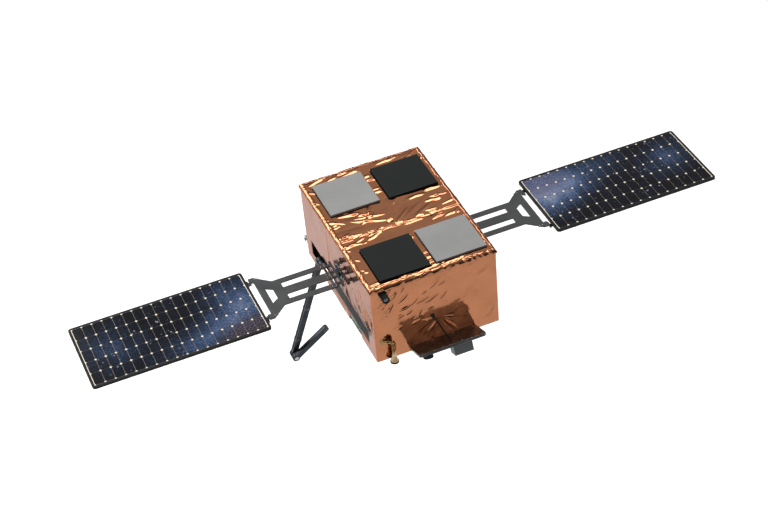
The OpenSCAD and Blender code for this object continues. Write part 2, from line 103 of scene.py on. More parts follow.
class WingSettings(bpy.types.PropertyGroup):
    columns: IntProperty(name="Columns", description="Cells along a wing",
                         default=17, min=1)
    rows: IntProperty(name="Rows", description="Cells across a wing",
                      default=5, min=1)
    gap: length("Cell gap", "Gap between two cells", 1.8)
    cut: length("Cell cut", "Cut at each corner of a cell", 5.2)
    pad: length("Pad", "Half width of a contact pad", 5.4)
    dark: colour("Dark cell", "Cell colour away from the light", "#08090d")
    deep: colour("Deep cell", "Middle tone of a cell", "#172234")
    blue: colour("Blue cell", "Cell colour towards the light", "#3c4f70")
    pale: colour("Pale cell", "Palest cell colour", "#7f8aa4")
    cream: colour("Contact", "Colour of pads and end bars", "#ecdfca")
    carbon: colour("Carbon", "Colour of the carbon laminate", "#2b2d2e")


class FittingSettings(bpy.types.PropertyGroup):
    grey: colour("Grey paint", "Colour of the pale patches", "#898988")
    black: colour("Black paint", "Colour of the dark patches", "#161b19")
    arm: colour("Arm", "Colour of the arm's anodising", "#2c3136")
    shelf: colour("Shelf", "Colour of the sensor shelf", "#b4a89e")
    board: colour("Board", "Colour of the connector board", "#0b4519")
    edge: length("Edge", "Softened edge of the metal parts", 0.7)


class StageSettings(bpy.types.PropertyGroup):
    drop: FloatProperty(name="Floor drop", default=1.3, unit="LENGTH",
                        description="Distance of the floor below the ring")
    glow: FloatProperty(name="Floor glow", default=0.36, min=0,
                        description="Light of the lit floor")
    lamps: FloatProperty(name="Lamps", default=1.0, min=0,
                         description="Strength of all the soft boxes")
    sky: FloatProperty(name="Sky", default=1.0, min=0,
                       description="Strength of the studio's walls")


# ---------- heights of creased film ----------

def lattice(u, v, seed):
    """Corner heights and the place inside a lattice cell for each point."""
    table = np.random.default_rng(seed).uniform(-1, 1, (61, 61))
    i, j = np.floor(u).astype(int), np.floor(v).astype(int)

    def at(a, b):
        return table[(i + a) % 61, (j + b) % 61]
    return at, u - i, v - j


def swell(u, v, cell, seed):
    """Smooth heights from -1 to 1, for slow waves."""
    at, p, q = lattice(u / cell, v / cell, seed)
    p, q = p * p * (3 - 2 * p), q * q * (3 - 2 * q)
    return ((at(0, 0) * (1 - p) + at(1, 0) * p) * (1 - q)
            + (at(0, 1) * (1 - p) + at(1, 1) * p) * q)


def facets(u, v, cell, seed, stretch=1.0, turn=0.0):
    """Heights from -1 to 1 over flat three-sided facets with sharp ridges."""
    c, s = math.cos(math.radians(turn)), math.sin(math.radians(turn))
    bend = cell * 0.35
    u, v = (u + bend * swell(u, v, 2.3 * cell, seed + 1),
            v + bend * swell(u, v, 2.3 * cell, seed + 2))
    x, y = (u * c + v * s) / (cell * stretch), (v * c - u * s) / cell
    at, p, q = lattice(x + y * 0.577, y * 1.155, seed)
    near = at(0, 0) * (1 - p - q) + at(1, 0) * p + at(0, 1) * q
    far = at(1, 1) * (p + q - 1) + at(1, 0) * (1 - q) + at(0, 1) * (1 - p)
    return np.where(p + q < 1, near, far)


def ridges(u, v, cell, seed, stretch=1.0, turn=0.0, sharp=7):
    """Narrow raised lines from 0 to 1 that wander over the film."""
    return (1 - np.abs(facets(u, v, cell, seed, stretch, turn))) ** sharp


def near(value, middle, width):
    """1 at the middle, falling to 0 a few widths away."""
    return np.exp(-((value - middle) / width) ** 2)


def step_up(value, low, high):
    """0 below low, rising softly to 1 at high."""
    t = np.clip((value - low) / (high - low), 0, 1)
    return t * t * (3 - 2 * t)


def fold(u, v, start, end, width, height):
    """One flat-sided crease from start to end, tapering out at both ends."""
    start, end = np.array(start, float), np.array(end, float)
    along = (end - start) / np.linalg.norm(end - start)
    s = (u - start[0]) * along[0] + (v - start[1]) * along[1]
    q = (v - start[1]) * along[0] - (u - start[0]) * along[1]
    q = q + 2.4 * swell(u, v, 24, 3)
    t = np.clip(s / np.linalg.norm(end - start), 0, 1)
    taper = np.sin(math.pi * t) ** 0.7
    return height * taper * np.clip(
        1 - np.abs(q) / (1.7 * width * (0.35 + 0.65 * taper)), 0, 1)


def tucks(u, v, zone, count, size, turn, depth, seed, wide=(2.2, 4.4)):
    """Short tapered creases, scattered in a zone (u0, v0, u1, v1)."""
    rng = np.random.default_rng(seed)
    h = np.zeros_like(u)
    for _ in range(count):
        a = rng.uniform(zone[0], zone[2])
        b = rng.uniform(zone[1], zone[3])
        angle = math.radians(turn + rng.normal(0, 13))
        half = size * rng.uniform(0.45, 1.4) / 2
        d = half * math.cos(angle), half * math.sin(angle)
        width = rng.uniform(*wide)
        reach = size + 12
        near_it = (np.abs(u - a) < reach) & (np.abs(v - b) < reach)
        h[near_it] += fold(u[near_it], v[near_it], (a - d[0], b - d[1]),
                           (a + d[0], b + d[1]), width,
                           depth * rng.uniform(0.6, 1.25))
    return h


# ---------- meshes ----------

def piece(name, verts, faces, material, body="root", slot=None, flat=False):
    """A mesh object from points in millimetres, which rides on a body."""
    mesh = bpy.data.meshes.new(name)
    mesh.from_pydata((np.asarray(verts, float) * MM).tolist(), [], faces)
    mesh.validate()
    mesh.shade_flat() if flat else mesh.shade_smooth()
    mesh.materials.append(material)
    made = bpy.data.objects.new(name, mesh)
    bpy.context.scene.collection.objects.link(made)
    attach(made, body)
    return made


def joined(parts):
    """One list of points and one of faces from several."""
    verts, faces = [], []
    for points, polygons in parts:
        start = len(verts)
        verts.extend([list(map(float, p)) for p in points])
        faces.extend([[start + k for k in polygon] for polygon in polygons])
    return verts, faces


def ticks(marks, step):
    """Places along an edge, with each mark on one and a step between two."""
    runs = [np.linspace(a, b, max(1, round((b - a) / step)), endpoint=False)
            for a, b in zip(marks, marks[1:])]
    return np.concatenate([*runs, marks[-1:]])


def grid_faces(rows, columns, keep=None):
    """Four-sided faces of a grid of points, or only those to keep."""
    at = np.arange(rows * columns).reshape(rows, columns)
    quads = np.stack([at[:-1, :-1], at[1:, :-1], at[1:, 1:], at[:-1, 1:]], -1)
    return (quads[keep] if keep is not None else quads.reshape(-1, 4)).tolist()


def block(low, high, edge=0.4, steps=2):
    """A box between two corners with softened edges."""
    bm = bmesh.new()
    bmesh.ops.create_cube(bm, size=1)
    low, high = Vector(low), Vector(high)
    for vert in bm.verts:
        vert.co = Vector([(a + b) / 2 + (b - a) * c
                          for a, b, c in zip(low, high, vert.co)])
    bmesh.ops.bevel(bm, geom=bm.edges[:], offset=edge, segments=steps,
                    profile=0.6, affect="EDGES", clamp_overlap=True)
    bm.verts.ensure_lookup_table()
    made = ([list(vert.co) for vert in bm.verts],
            [[vert.index for vert in face.verts] for face in bm.faces])
    bm.free()
    return made


def placed(part, place):
    """A part moved by a matrix."""
    return [list(place @ Vector(p)) for p in part[0]], part[1]


def aimed(point, direction):
    """A matrix that puts +Z of a part along a direction at a point."""
    turn = Vector(direction).to_track_quat("Z", "Y").to_matrix().to_4x4()
    return Matrix.Translation(Vector(point)) @ turn


def lathe(profile, point=(0, 0, 0), direction=(0, 0, 1), around=48):
    """A turned part from (radius, distance) pairs along its axis."""
    verts, faces, rings = [], [], []
    for radius, z in profile:
        if radius < 1e-6:
            rings.append([len(verts)])
            verts.append([0, 0, z])
            continue
        rings.append(list(range(len(verts), len(verts) + around)))
        verts += [[radius * math.cos(a), radius * math.sin(a), z]
                  for a in np.linspace(0, 2 * math.pi, around, endpoint=False)]
    for a, b in zip(rings, rings[1:]):
        for k in range(around):
            ring = [a[k % len(a)], a[(k + 1) % len(a)],
                    b[(k + 1) % len(b)], b[k % len(b)]]
            ring = list(dict.fromkeys(ring))
            if len(ring) > 2:
                faces.append(ring)
    return placed((verts, faces), aimed(point, direction))


def rounded(profile, reach=0.35, steps=3):
    """A turned profile with small round corners in place of sharp ones."""
    points = [Vector(p) for p in profile]
    out = [points[0]]
    for before, at, after in zip(points, points[1:], points[2:]):
        a, b = (at + way.normalized() * min(reach, way.length / 2)
                for way in (before - at, after - at))
        for k in range(steps + 1):
            t = k / steps
            out.append(a * (1 - t) ** 2 + at * 2 * t * (1 - t) + b * t * t)
    out.append(points[-1])
    return [tuple(p) for p in out]


def screw(point, direction, radius=3.0, height=1.8):
    """A button-head screw with a round socket."""
    socket = radius * 0.45
    profile = rounded([(0, height * 0.3), (socket, height * 0.3),
                       (socket, height), (radius * 0.8, height * 0.9),
                       (radius, height * 0.35), (radius, 0)], radius * 0.12)
    return lathe(profile, point, direction, around=20)


def tube(points, radius, around=12):
    """A round tube along a line of points."""
    points = [Vector(p) for p in points]
    verts, faces = [], []
    side = None
    for k, point in enumerate(points):
        ahead = points[min(k + 1, len(points) - 1)] - points[max(k - 1, 0)]
        ahead.normalize()
        if side is None:
            side = ahead.orthogonal().normalized()
        side = (side - ahead * side.dot(ahead)).normalized()
        up = ahead.cross(side)
        for a in np.linspace(0, 2 * math.pi, around, endpoint=False):
            verts.append(list(point + radius * (side * math.cos(a)
                                                + up * math.sin(a))))
    for k in range(len(points) - 1):
        for a in range(around):
            b = (a + 1) % around
            faces.append([k * around + a, k * around + b,
                          (k + 1) * around + b, (k + 1) * around + a])
    faces.append(list(range(around))[::-1])
    faces.append([len(verts) - around + a for a in range(around)])
    return verts, faces


def smooth_line(points, steps=8):
    """Points of a soft curve through the given ones."""
    points = [Vector(p) for p in points]
    ends = [2 * points[0] - points[1], *points, 2 * points[-1] - points[-2]]
    out = []
    for a, b, c, d in zip(ends, ends[1:], ends[2:], ends[3:]):
        for t in np.linspace(0, 1, steps, endpoint=False):
            out.append(0.5 * (2 * b + (c - a) * t
                              + (2 * a - 5 * b + 4 * c - d) * t ** 2
                              + (3 * b - a - 3 * c + d) * t ** 3))
    return [*out, points[-1]]


# ---------- materials ----------

def per_mm(mm):
    """Scale of a pattern whose features are that many millimetres apart."""
    return 1 / (mm * MM)


def rgba(value, share=1.0):
    """A colour with its alpha, made lighter or darker by a share."""
    return [min(1, c * share) for c in value] + [1]


def feed(node, sockets):
    """Set a node's inputs: an output is linked, any other value is set."""
    for key, value in sockets.items():
        if isinstance(value, bpy.types.NodeSocket):
            node.id_data.links.new(value, node.inputs[key])
        else:
            node.inputs[key].default_value = value


def add(tree, kind, settings=None, sockets=None, out=0):
    """Add one node with its settings and links, and give back an output.

    A colour ramp's setting "stops" holds (place, colour or grey) pairs.
    """
    made = tree.nodes.new("ShaderNode" + kind)
    for key, value in (settings or {}).items():
        if key != "stops":
            setattr(made, key, value)
            continue
        points = made.color_ramp.elements
        while len(points) < len(value):
            points.new(0.5)
        for point, (at, tone) in zip(points, value):
            point.position = at
            grey = not hasattr(tone, "__len__")
            point.color = [tone, tone, tone, 1] if grey else tone
    feed(made, sockets or {})
    return made.outputs[out]


def surface(name, sockets):
    """A new material, its tree, its shader and its object coordinates."""
    material = bpy.data.materials.new(name)
    material.use_nodes = True
    tree = material.node_tree
    shader = tree.nodes["Principled BSDF"]
    feed(shader, sockets)
    return material, tree, shader, add(tree, "TexCoord", out="Object")


def finish(name, sockets, cloud, haze=None, relief=None, drawn=None):
    """A finish whose tone drifts, with gloss and relief that follow its grain.

    cloud is (mm, detail, stops) of the tone, haze the same of the roughness,
    and relief (mm, detail, depth in mm, strength) of the fine relief. drawn
    scales the grain's axes, for marks that run along one of them.
    """
    material, tree, shader, place = surface(name, sockets)
    grain = add(tree, "Mapping", sockets={
        "Vector": place, "Scale": drawn}) if drawn else place
    for socket, where, layer in (("Base Color", place, cloud),
                                 ("Roughness", grain, haze),
                                 ("Normal", grain, relief)):
        if not layer:
            continue
        mm, detail, *rest = layer
        field = add(tree, "TexNoise", sockets={
            "Vector": where, "Scale": per_mm(mm), "Detail": detail})
        if socket == "Normal":
            depth, strength = rest
            shown = add(tree, "Bump", sockets={
                "Height": field, "Distance": depth * MM, "Strength": strength})
        else:
            shown = add(tree, "ValToRGB", {"stops": rest[0]}, {"Fac": field})
        feed(shader, {socket: shown})
    return material


def polyimide_film(film):
    """Aluminised polyimide film, rolled thin and creased by hand: a copper
    mirror, a little cloudy where it was handled, with fine crazed creases."""
    # A graze turns the amber towards pink-grey, as coated film does
    material, tree, shader, place = surface("Polyimide film, aluminised", {
        "Metallic": 1.0, "Specular Tint": [0.64, 0.65, 0.68, 1]})
    cloud = add(tree, "TexNoise", sockets={
        "Vector": place, "Scale": per_mm(90), "Detail": 4, "Roughness": 0.6})
    smudge = add(tree, "TexNoise", sockets={
        "Vector": place, "Scale": per_mm(26), "Detail": 3})
    # Hand creases are 5 to 17 mm apart; the 2 mm crazing between is too fine
    crease = add(tree, "TexVoronoi", {"feature": "DISTANCE_TO_EDGE"}, {
        "Vector": place, "Scale": per_mm(17)}, "Distance")
    line = add(tree, "ValToRGB", {"stops": [(0.0, 0.0), (0.09, 1.0)]},
               {"Fac": crease})
    creased = add(tree, "Bump", sockets={
        "Height": line, "Distance": 0.12 * MM, "Strength": 0.2})
    crumple = add(tree, "TexNoise", sockets={
        "Vector": place, "Scale": per_mm(9), "Detail": 2, "Roughness": 0.35})
    feed(shader, {
        "Base Color": add(tree, "ValToRGB", {"stops": [
            (0.3, rgba(film, 0.88)), (0.52, rgba(film)),
            (0.75, rgba(film, 1.08))]}, {"Fac": cloud}),
        "Roughness": add(tree, "ValToRGB", {
            "stops": [(0.35, 0.06), (0.7, 0.15)]}, {"Fac": smudge}),
        "Normal": add(tree, "Bump", sockets={
            "Height": crumple, "Distance": 0.25 * MM, "Strength": 0.35,
            "Normal": creased})})
    return material


def film_tape(name, film):
    """Pressure-sensitive polyimide tape over the film: the same amber, duller
    and a shade paler, because its glue holds it flat."""
    return finish(
        name, {"Metallic": 1.0},
        (14, 3, [(0.35, rgba(film, 1.05)), (0.7, rgba(film, 1.45))]),
        (6, 3, [(0.3, 0.16), (0.7, 0.34)]), (4, 3, 0.3, 0.6))


def carbon_laminate(name, tint, rough=0.34, gloss=0.5):
    """Carbon-fibre laminate, pressed and sanded: near-black grey with a soft
    sheen and the faint lattice of a 2 mm twill."""
    material, tree, shader, place = surface(
        name, {"Specular IOR Level": gloss})
    turned = add(tree, "Mapping", sockets={
        "Vector": place, "Rotation": (0, 0, math.radians(45))})
    # A tow is 2 mm wide, too fine to show, so it is drawn 4 mm wide
    weave = add(tree, "TexChecker", sockets={
        "Vector": turned, "Scale": per_mm(8)}, out="Fac")
    cloud = add(tree, "TexNoise", sockets={
        "Vector": place, "Scale": per_mm(60), "Detail": 3})
    blend = add(tree, "Mix", {"data_type": "FLOAT"}, {
        "Factor": 0.22, "A": cloud, "B": weave}, "Result")
    feed(shader, {
        "Base Color": add(tree, "ValToRGB", {
            "stops": [(0.25, rgba(tint, 0.82)), (0.75, rgba(tint, 1.2))]},
            {"Fac": blend}),
        "Roughness": add(tree, "ValToRGB", {"stops": [
            (0.3, rough - 0.06), (0.7, rough + 0.08)]}, {"Fac": cloud}),
        "Normal": add(tree, "Bump", sockets={
            "Height": weave, "Distance": 0.03 * MM, "Strength": 0.3})})
    return material


def matt_paint(name, tint, rough=0.62, grain=0.10):
    """Thermal-control paint, sprayed on aluminium: flat and even, with fine
    overspray grain and a slow change of shade from coat to coat."""
    return finish(
        name, {"Roughness": rough, "Specular IOR Level": 0.2},
        (120, 2, [(0.3, rgba(tint, 0.94)), (0.7, rgba(tint, 1.05))]),
        relief=(1.6, 2, grain, 0.25))


def anodised(name, tint, rough=0.36, metallic=0.75):
    """Anodised aluminium, machined then dyed: a dark satin metal whose tool
    marks still run along it."""
    return finish(
        name, {"Metallic": metallic},
        (34, 3, [(0.3, rgba(tint, 0.8)), (0.7, rgba(tint, 1.25))]),
        (2.2, 2, [(0.3, rough - 0.08), (0.7, rough + 0.1)]),
        (2.2, 2, 0.05, 0.3), drawn=(1, 1, 0.08))


def bare_metal(name, code, rough=0.24, heat=None):
    """Machined or drawn metal left bare: bright, with fine turning marks; heat
    is the straw or brown that a hot part takes on."""
    return finish(
        name, {"Metallic": 1.0},
        (22, 3, [(0.32, rgba(linear(heat or code), 0.9)),
                 (0.6, rgba(linear(code)))]),
        (1.8, 2, [(0.3, rough - 0.06), (0.7, rough + 0.07)]),
        (1.8, 2, 0.04, 0.25))


def moulded_plastic(name, tint, rough=0.42):
    """Moulded or poured plastic: even colour with a fine grain, as a
    spark-eroded mould leaves it."""
    return finish(
        name, {}, (9, 3, [(0.3, rgba(tint, 0.88)), (0.7, rgba(tint, 1.12))]),
        (1.2, 2, [(0.3, rough - 0.05), (0.7, rough + 0.08)]),
        (1.2, 2, 0.04, 0.25))


def lens_glass():
    """Coated lens glass over a black cell: almost black, with a clear mirror
    gloss and a faint violet bloom."""
    return finish(
        "Lens glass, coated",
        {"Roughness": 0.04, "Coat Weight": 1.0, "Coat Roughness": 0.02},
        (12, 3, [(0.3, rgba(linear("#07080b"))),
                 (0.7, rgba(linear("#161226")))]))


def lacquered_board(green):
    """Fibreglass board under green solder lacquer: glossy deep green with
    lighter copper tracks under it."""
    material, tree, shader, place = surface(
        "Fibreglass board, lacquered",
        {"Roughness": 0.28, "Coat Weight": 0.15})
    upright = add(tree, "Mapping", sockets={
        "Vector": place, "Rotation": (math.radians(90), 0, math.radians(90))})
    # Tracks are 0.3 mm wide, too fine to show, so they are drawn 14 mm apart
    bricks = ({"offset": 0.35, "squash": 1.6}, {
        "Vector": upright, "Scale": per_mm(14), "Mortar Size": 0.03,
        "Color1": rgba(green), "Color2": rgba(green, 1.5),
        "Mortar": rgba(green, 2.2)})
    feed(shader, {
        "Base Color": add(tree, "TexBrick", *bricks),
        "Normal": add(tree, "Bump", sockets={
            "Height": add(tree, "TexBrick", *bricks, out="Fac"),
            "Distance": 0.05 * MM, "Strength": 0.4})})
    return material


def solar_cell(name, wing, painted_glows, warm, tints):
    """Triple-junction cell under coated cover glass, cast and polished: blue
    to black from wafer to wafer and across regions of painted light, with painted
    crystal glints a few mm wide."""
    material, tree, shader, place = surface(
        name, {"Roughness": 0.16, "Specular IOR Level": 0.12})
    # Painted light: every spot but the last lifts the cells towards blue and pale;
    # the last is the warm region
    spots = [add(tree, "TexGradient", {"gradient_type": "SPHERICAL"}, {
        "Vector": add(tree, "Mapping", {"vector_type": "TEXTURE"}, {
            "Vector": place, "Location": (x * MM, y * MM, CELL_TOP),
            "Rotation": (0, 0, math.radians(turn)),
            "Scale": (long * MM, wide * MM, 1)})}, "Fac")
        for x, y, long, wide, turn in [*(glow[1:] for glow in painted_glows), warm]]
    fields = {key: add(tree, "TexNoise", sockets={
        "Vector": place, "Scale": per_mm(mm), "Detail": detail,
        "Roughness": rough}) for key, mm, detail, rough in (
            ("drift", 95, 2, 0.5), ("crystal", 7, 5, 0.85),
            ("bloom", 5, 4, 0.8), ("patch", 55, 2, 0.5))}
    # Each cell is cut from another wafer, so each has its own shade
    wafer = add(tree, "NewGeometry", out="Random Per Island")
    light = add(tree, "Math", {"operation": "MULTIPLY"},
                {0: fields["drift"], 1: 0.16})
    wafer_share, crystal_share = 0.1, 1.5
    weights = [*(glow[0] for glow in painted_glows), wafer_share, crystal_share]
    # Painted light from the glow spots, added to the random wafer shade and the
    # crystal grain
    for field, weight in zip([*spots[:-1], wafer, fields["crystal"]], weights):
        light = add(tree, "Math", {"operation": "MULTIPLY_ADD"},
                    {0: field, 1: weight, 2: light})
    light = add(tree, "Math", {"operation": "SUBTRACT", "use_clamp": True},
                {0: light, 1: (wafer_share + crystal_share) / 2})
    tone = add(tree, "ValToRGB", {"stops": [
        (0.1, rgba(wing.dark)), (0.34, rgba(wing.deep)),
        (0.66, rgba(wing.blue)), (1.0, rgba(wing.pale))]}, {"Fac": light})
    tinted = add(tree, "ValToRGB", {"stops": [
        (at, rgba(linear(code)))
        for at, code in zip((0.45, 0.56, 0.68), tints)]},
        {"Fac": fields["bloom"]})
    tone = add(tree, "Mix", {"data_type": "RGBA"}, {
        "Factor": add(tree, "ValToRGB", {"stops": [(0.0, 0.0), (0.5, 0.75)]},
                      {"Fac": spots[-1]}),
        "A": tone, "B": tinted}, "Result")
    # Painted highlights: pale glints on a few crystal facets, mixed into the
    # cell's colour
    facet = add(tree, "TexVoronoi", sockets={
        "Vector": place, "Scale": per_mm(6)}, out="Color")
    painted_glint = add(tree, "Math", {"operation": "MULTIPLY"}, {
        0: add(tree, "ValToRGB", {"stops": [(0.86, 0.0), (0.93, 1.0)]},
               {"Fac": facet}),
        1: add(tree, "ValToRGB", {"stops": [(0.5, 0.0), (0.68, 0.5)]},
               {"Fac": fields["patch"]})})
    feed(shader, {"Base Color": add(tree, "Mix", {"data_type": "RGBA"}, {
        "Factor": painted_glint, "A": tone, "B": rgba(linear("#b9c4d6"))}, "Result")})
    return material


# Regions of each wing painted bluer and paler as painted light, as (weight,
# x, y, length, width, turn), then one warm region and the tints that it holds
CELL_TOP = 239.6 * MM
CELL_REGIONS = {
    "left": ([(0.54, -650, 20, 230, 190, -30),
              (0.58, -800, -120, 340, 130, 16),
              (0.36, -1190, -20, 180, 190, 30)],
             (-640, -175, 190, 110, 0), ("#1d1517", "#4d4450", "#b9a7ae")),
    "right": ([(0.62, 640, 60, 220, 240, 0), (0.55, 790, 60, 330, 150, 20),
               (0.46, 1200, 20, 180, 150, 25)],
              (650, 110, 170, 110, 0), ("#3a3d5a", "#62647f", "#98949f")),
}

MATERIALS = {}


def make_materials(scene):
    """Fill MATERIALS with every finish, by the key that the pieces use."""
    wing, parts = scene.satellite_wing, scene.satellite_fittings
    film, carbon = scene.satellite_blanket.film, wing.carbon
    MATERIALS.update(
        film=polyimide_film(film),
        tape=film_tape("Polyimide tape, glued", film),
        harness=film_tape("Polyimide harness tape, glued", film),
        # Sanded edges and faces catch a soft grey sheen
        carbon=carbon_laminate("Carbon laminate, sanded", carbon),
        # The face sheet is unsanded and resin-rich: darker and duller
        panel=carbon_laminate("Carbon face sheet, pressed",
                              [c * 0.4 for c in carbon], 0.5, 0.12),
        grey=matt_paint("Thermal paint, sprayed grey", parts.grey),
        black=matt_paint("Thermal paint, sprayed black", parts.black, 0.8),
        stay=matt_paint("Primer, sprayed brown", linear("#2b1b13"), 0.6),
        box=matt_paint("Silicone paint, sprayed", linear("#565b5b"), 0.45),
        # Woven or felted liners: a coarser grain under a dull coat; the felted bay
        # liner is near-black as painted shade inside the recess
        liner=matt_paint("Glass-cloth liner, woven", linear("#6c6d6d"), 0.5,
                         0.2),
        bay=matt_paint("Polyester liner, painted shade black", linear("#1a1716"), 0.5),
        arm=anodised("Aluminium, black anodised", parts.arm),
        housing=anodised("Aluminium, grey anodised", linear("#4b4d4f")),
        # Bright enough to mirror the copper film that it faces
        shelf=anodised("Aluminium, clear anodised", parts.shelf, 0.3, 1.0),
        bright=bare_metal("Aluminium, machined", "#c3c4c6"),
        steel=bare_metal("Steel, ground", "#a9aaac", 0.2),
        polished=bare_metal("Steel, polished", "#cfd0d3", 0.1),
        # Firing leaves straw and brown on the bell; the near-black lip is a
        # painted shadow line at its mouth
        nozzle=bare_metal("Niobium alloy, heat-tinted", "#b29a78", 0.1,
                          "#7c6242"),
        scorched=bare_metal("Niobium alloy, scorched", "#231f1c", 0.4),
        pipe=bare_metal("Bronze, hydroformed", "#ad875a", 0.14, "#6b4c2e"),
        ribbon=bare_metal("Silver ribbon, rolled", "#94897c", 0.35),
        board=lacquered_board(parts.board),
        chip=moulded_plastic("Epoxy, moulded", linear("#161617")),
        connector=moulded_plastic("Nylon, moulded", linear("#c9c2ae"), 0.38),
        cream=moulded_plastic("Silicone adhesive, poured", wing.cream, 0.5),
        under=moulded_plastic("Polyimide cell base, cast", linear("#0b0b0d"), 0.4),
        lens=lens_glass(),
    )
    for side, regions in CELL_REGIONS.items():
        MATERIALS["cell_" + side] = solar_cell(
            f"Solar cell, {side} wing", wing, *regions)


NODE_FINISH = {
    "bright": ["adapter_ring", "propellant_tank"],
    "film": ["top_panel_front", "top_panel_rear", "front_wall", "rear_wall",
             "right_wall", "left_wall", "bottom_deck"],
    # The arm bay's near-black colour is painted shade
    "liner": ["arm_cradle"], "bay": ["arm_bay"], "board": ["service_board"],
    "grey": ["patch_rear_left", "patch_front_right"],
    "black": ["patch_rear_right", "patch_front_left", "round_sensor",
              "sun_sensor"],
    "stay": ["shelf_stay"],
    "pipe": ["front_thruster", "rear_thruster"],
    "nozzle": ["front_nozzle"], "polished": ["rear_nozzle"],
    "shelf": ["sensor_shelf"], "box": ["sensor_box"],
    "housing": ["left_wing_drive", "right_wing_drive", "shoulder_drive"],
    "carbon": ["left_wing_root", "right_wing_root", "left_yoke", "right_yoke"],
    "steel": ["left_fold_pin", "right_fold_pin", "left_panel_pins",
              "right_panel_pins", "shoulder_pin", "elbow_pin"],
    "panel": ["left_panel", "right_panel"],
    "under": ["left_cell_sheet", "right_cell_sheet"],
    "arm": ["arm_turret", "upper_arm", "forearm", "arm_tip"],
}
SOFT_EDGED = [
    "patch_rear_left", "patch_front_right", "patch_rear_right",
    "patch_front_left", "sensor_shelf", "sensor_box", "left_wing_root",
    "right_wing_root", "left_yoke", "right_yoke", "left_panel", "right_panel",
    "arm_turret", "upper_arm", "forearm", "arm_tip", "adapter_ring",
    "left_wing_drive", "right_wing_drive", "round_sensor", "sun_sensor"]


class SATELLITE_OT_frame(bpy.types.Operator):
    """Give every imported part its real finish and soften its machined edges"""
    bl_idname = "satellite.frame"
    bl_label = "Finish the packed parts"

    def execute(self, context):
        scene = context.scene
        make_materials(scene)
        for key, names in NODE_FINISH.items():
            for name in names:
                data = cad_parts[name].data
                data.materials.clear()
                data.materials.append(MATERIALS[key])
        for name in SOFT_EDGED:
            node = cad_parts[name]
            weld = node.modifiers.new("weld", "WELD")
            weld.merge_threshold = 0.01 * MM
            bevel = node.modifiers.new("edge", "BEVEL")
            bevel.width = scene.satellite_fittings.edge
            bevel.segments = 2
            bevel.limit_method = "ANGLE"
            bevel.angle_limit = math.radians(40)
            node.modifiers.new("shade", "WEIGHTED_NORMAL")
        return {"FINISHED"}


# ---------- film blankets ----------

BODY_LOW = box_mm("front_wall")[0]
BODY_HIGH = np.array([box_mm("front_wall")[1][0], box_mm("rear_wall")[1][1],
                      box_mm("top_panel_rear")[1][2]])
MIDDLE = (BODY_LOW + BODY_HIGH) / 2
SEAM_Y = box_mm("top_panel_rear")[0][1]


def film_face(name, axis, sign, marks_a, marks_b, height, settings, step,
              holes=(), low=None, high=None):
    """A blanket over one face of the body, with rolled edges.

    axis and sign say which face; marks are places that the mesh keeps exactly,
    along the other two axes; height(a, b) is the film's relief; holes are
    (a0, b0, a1, b1) openings whose edges are pressed down on the panel.
    """
    off, radius = settings.stand_off / MM, settings.edge_radius / MM
    half = (BODY_HIGH - BODY_LOW) / 2 + off
    others = [k for k in range(3) if k != axis]
    a = ticks(sorted({float(m) for m in marks_a}), step)
    b = ticks(sorted({float(m) for m in marks_b}), step)
    grid_a, grid_b = np.meshgrid(a, b, indexing="ij")
    raw = np.zeros((*grid_a.shape, 3))
    raw[..., others[0]] = grid_a - MIDDLE[others[0]]
    raw[..., others[1]] = grid_b - MIDDLE[others[1]]
    raw[..., axis] = sign * half[axis]
    inner = np.clip(raw, -(half - radius), half - radius)
    normal = raw - inner
    normal /= np.linalg.norm(normal, axis=-1, keepdims=True)
    base = inner + radius * normal + MIDDLE
    h = height(grid_a, grid_b)
    keep = np.ones((len(a) - 1, len(b) - 1), bool)
    middle_a = (grid_a[:-1, :-1] + grid_a[1:, 1:]) / 2
    middle_b = (grid_b[:-1, :-1] + grid_b[1:, 1:]) / 2
    for a0, b0, a1, b1 in holes:
        keep &= ~((middle_a > a0) & (middle_a < a1)
                  & (middle_b > b0) & (middle_b < b1))
        out = np.hypot(np.maximum(0, np.maximum(a0 - grid_a, grid_a - a1)),
                       np.maximum(0, np.maximum(b0 - grid_b, grid_b - b1)))
        near_hole = step_up(out, 0, 7)
        h = h * near_hole - (1 - near_hole) * (off - 0.3)
    if low is not None:
        h = np.maximum(h, low)
    if high is not None:
        h = np.minimum(h, high(grid_a, grid_b))
    points = base + normal * h[..., None]
    faces = grid_faces(len(a), len(b), keep)
    outward = (axis == 1) != (sign > 0)
    faces = faces if outward else [face[::-1] for face in faces]
    made = piece(name, points.reshape(-1, 3), faces, MATERIALS["film"],
                 slot="copper_blanket")
    drop_loose(made)
    return made


def drop_loose(made):
    """Delete points that no face uses."""
    bm = bmesh.new()
    bm.from_mesh(made.data)
    bmesh.ops.delete(bm, geom=[v for v in bm.verts if not v.link_faces],
                     context="VERTS")
    bm.to_mesh(made.data)
    bm.free()


def edge_mask(a, b, low, high, width):
    """0 at a face's outline and 1 further in than the width."""
    inside = np.minimum(np.minimum(a - low[0], high[0] - a),
                        np.minimum(b - low[1], high[1] - b))
    return step_up(inside, 0, width)


def gathers(along, inside, reach, depth, seed):
    """Small slanted tucks beside a folded edge."""
    tucks = (ridges(along, inside * 2.2, 15, seed, 1.0, 35, 3) - 0.45
             + 0.5 * facets(along, inside, 9, seed + 5))
    return depth * tucks * near(inside, 0.45 * reach, 0.45 * reach)


def edge_gathers(a, b, low, high, **edges):
    """Gathers beside the edges named, each with (reach, depth, seed)."""
    lines = {"top": (a, high[1] - b), "bottom": (a, b - low[1]),
             "left": (b, a - low[0]), "right": (b, high[0] - a)}
    return sum(gathers(*lines[name], *row) for name, row in edges.items())


def side_limits(axis):
    """Low and high corner of the film on a face, across that axis."""
    off = bpy.context.scene.satellite_blanket.stand_off / MM
    others = [k for k in range(3) if k != axis]
    return ([BODY_LOW[k] - off for k in others],
            [BODY_HIGH[k] + off for k in others])


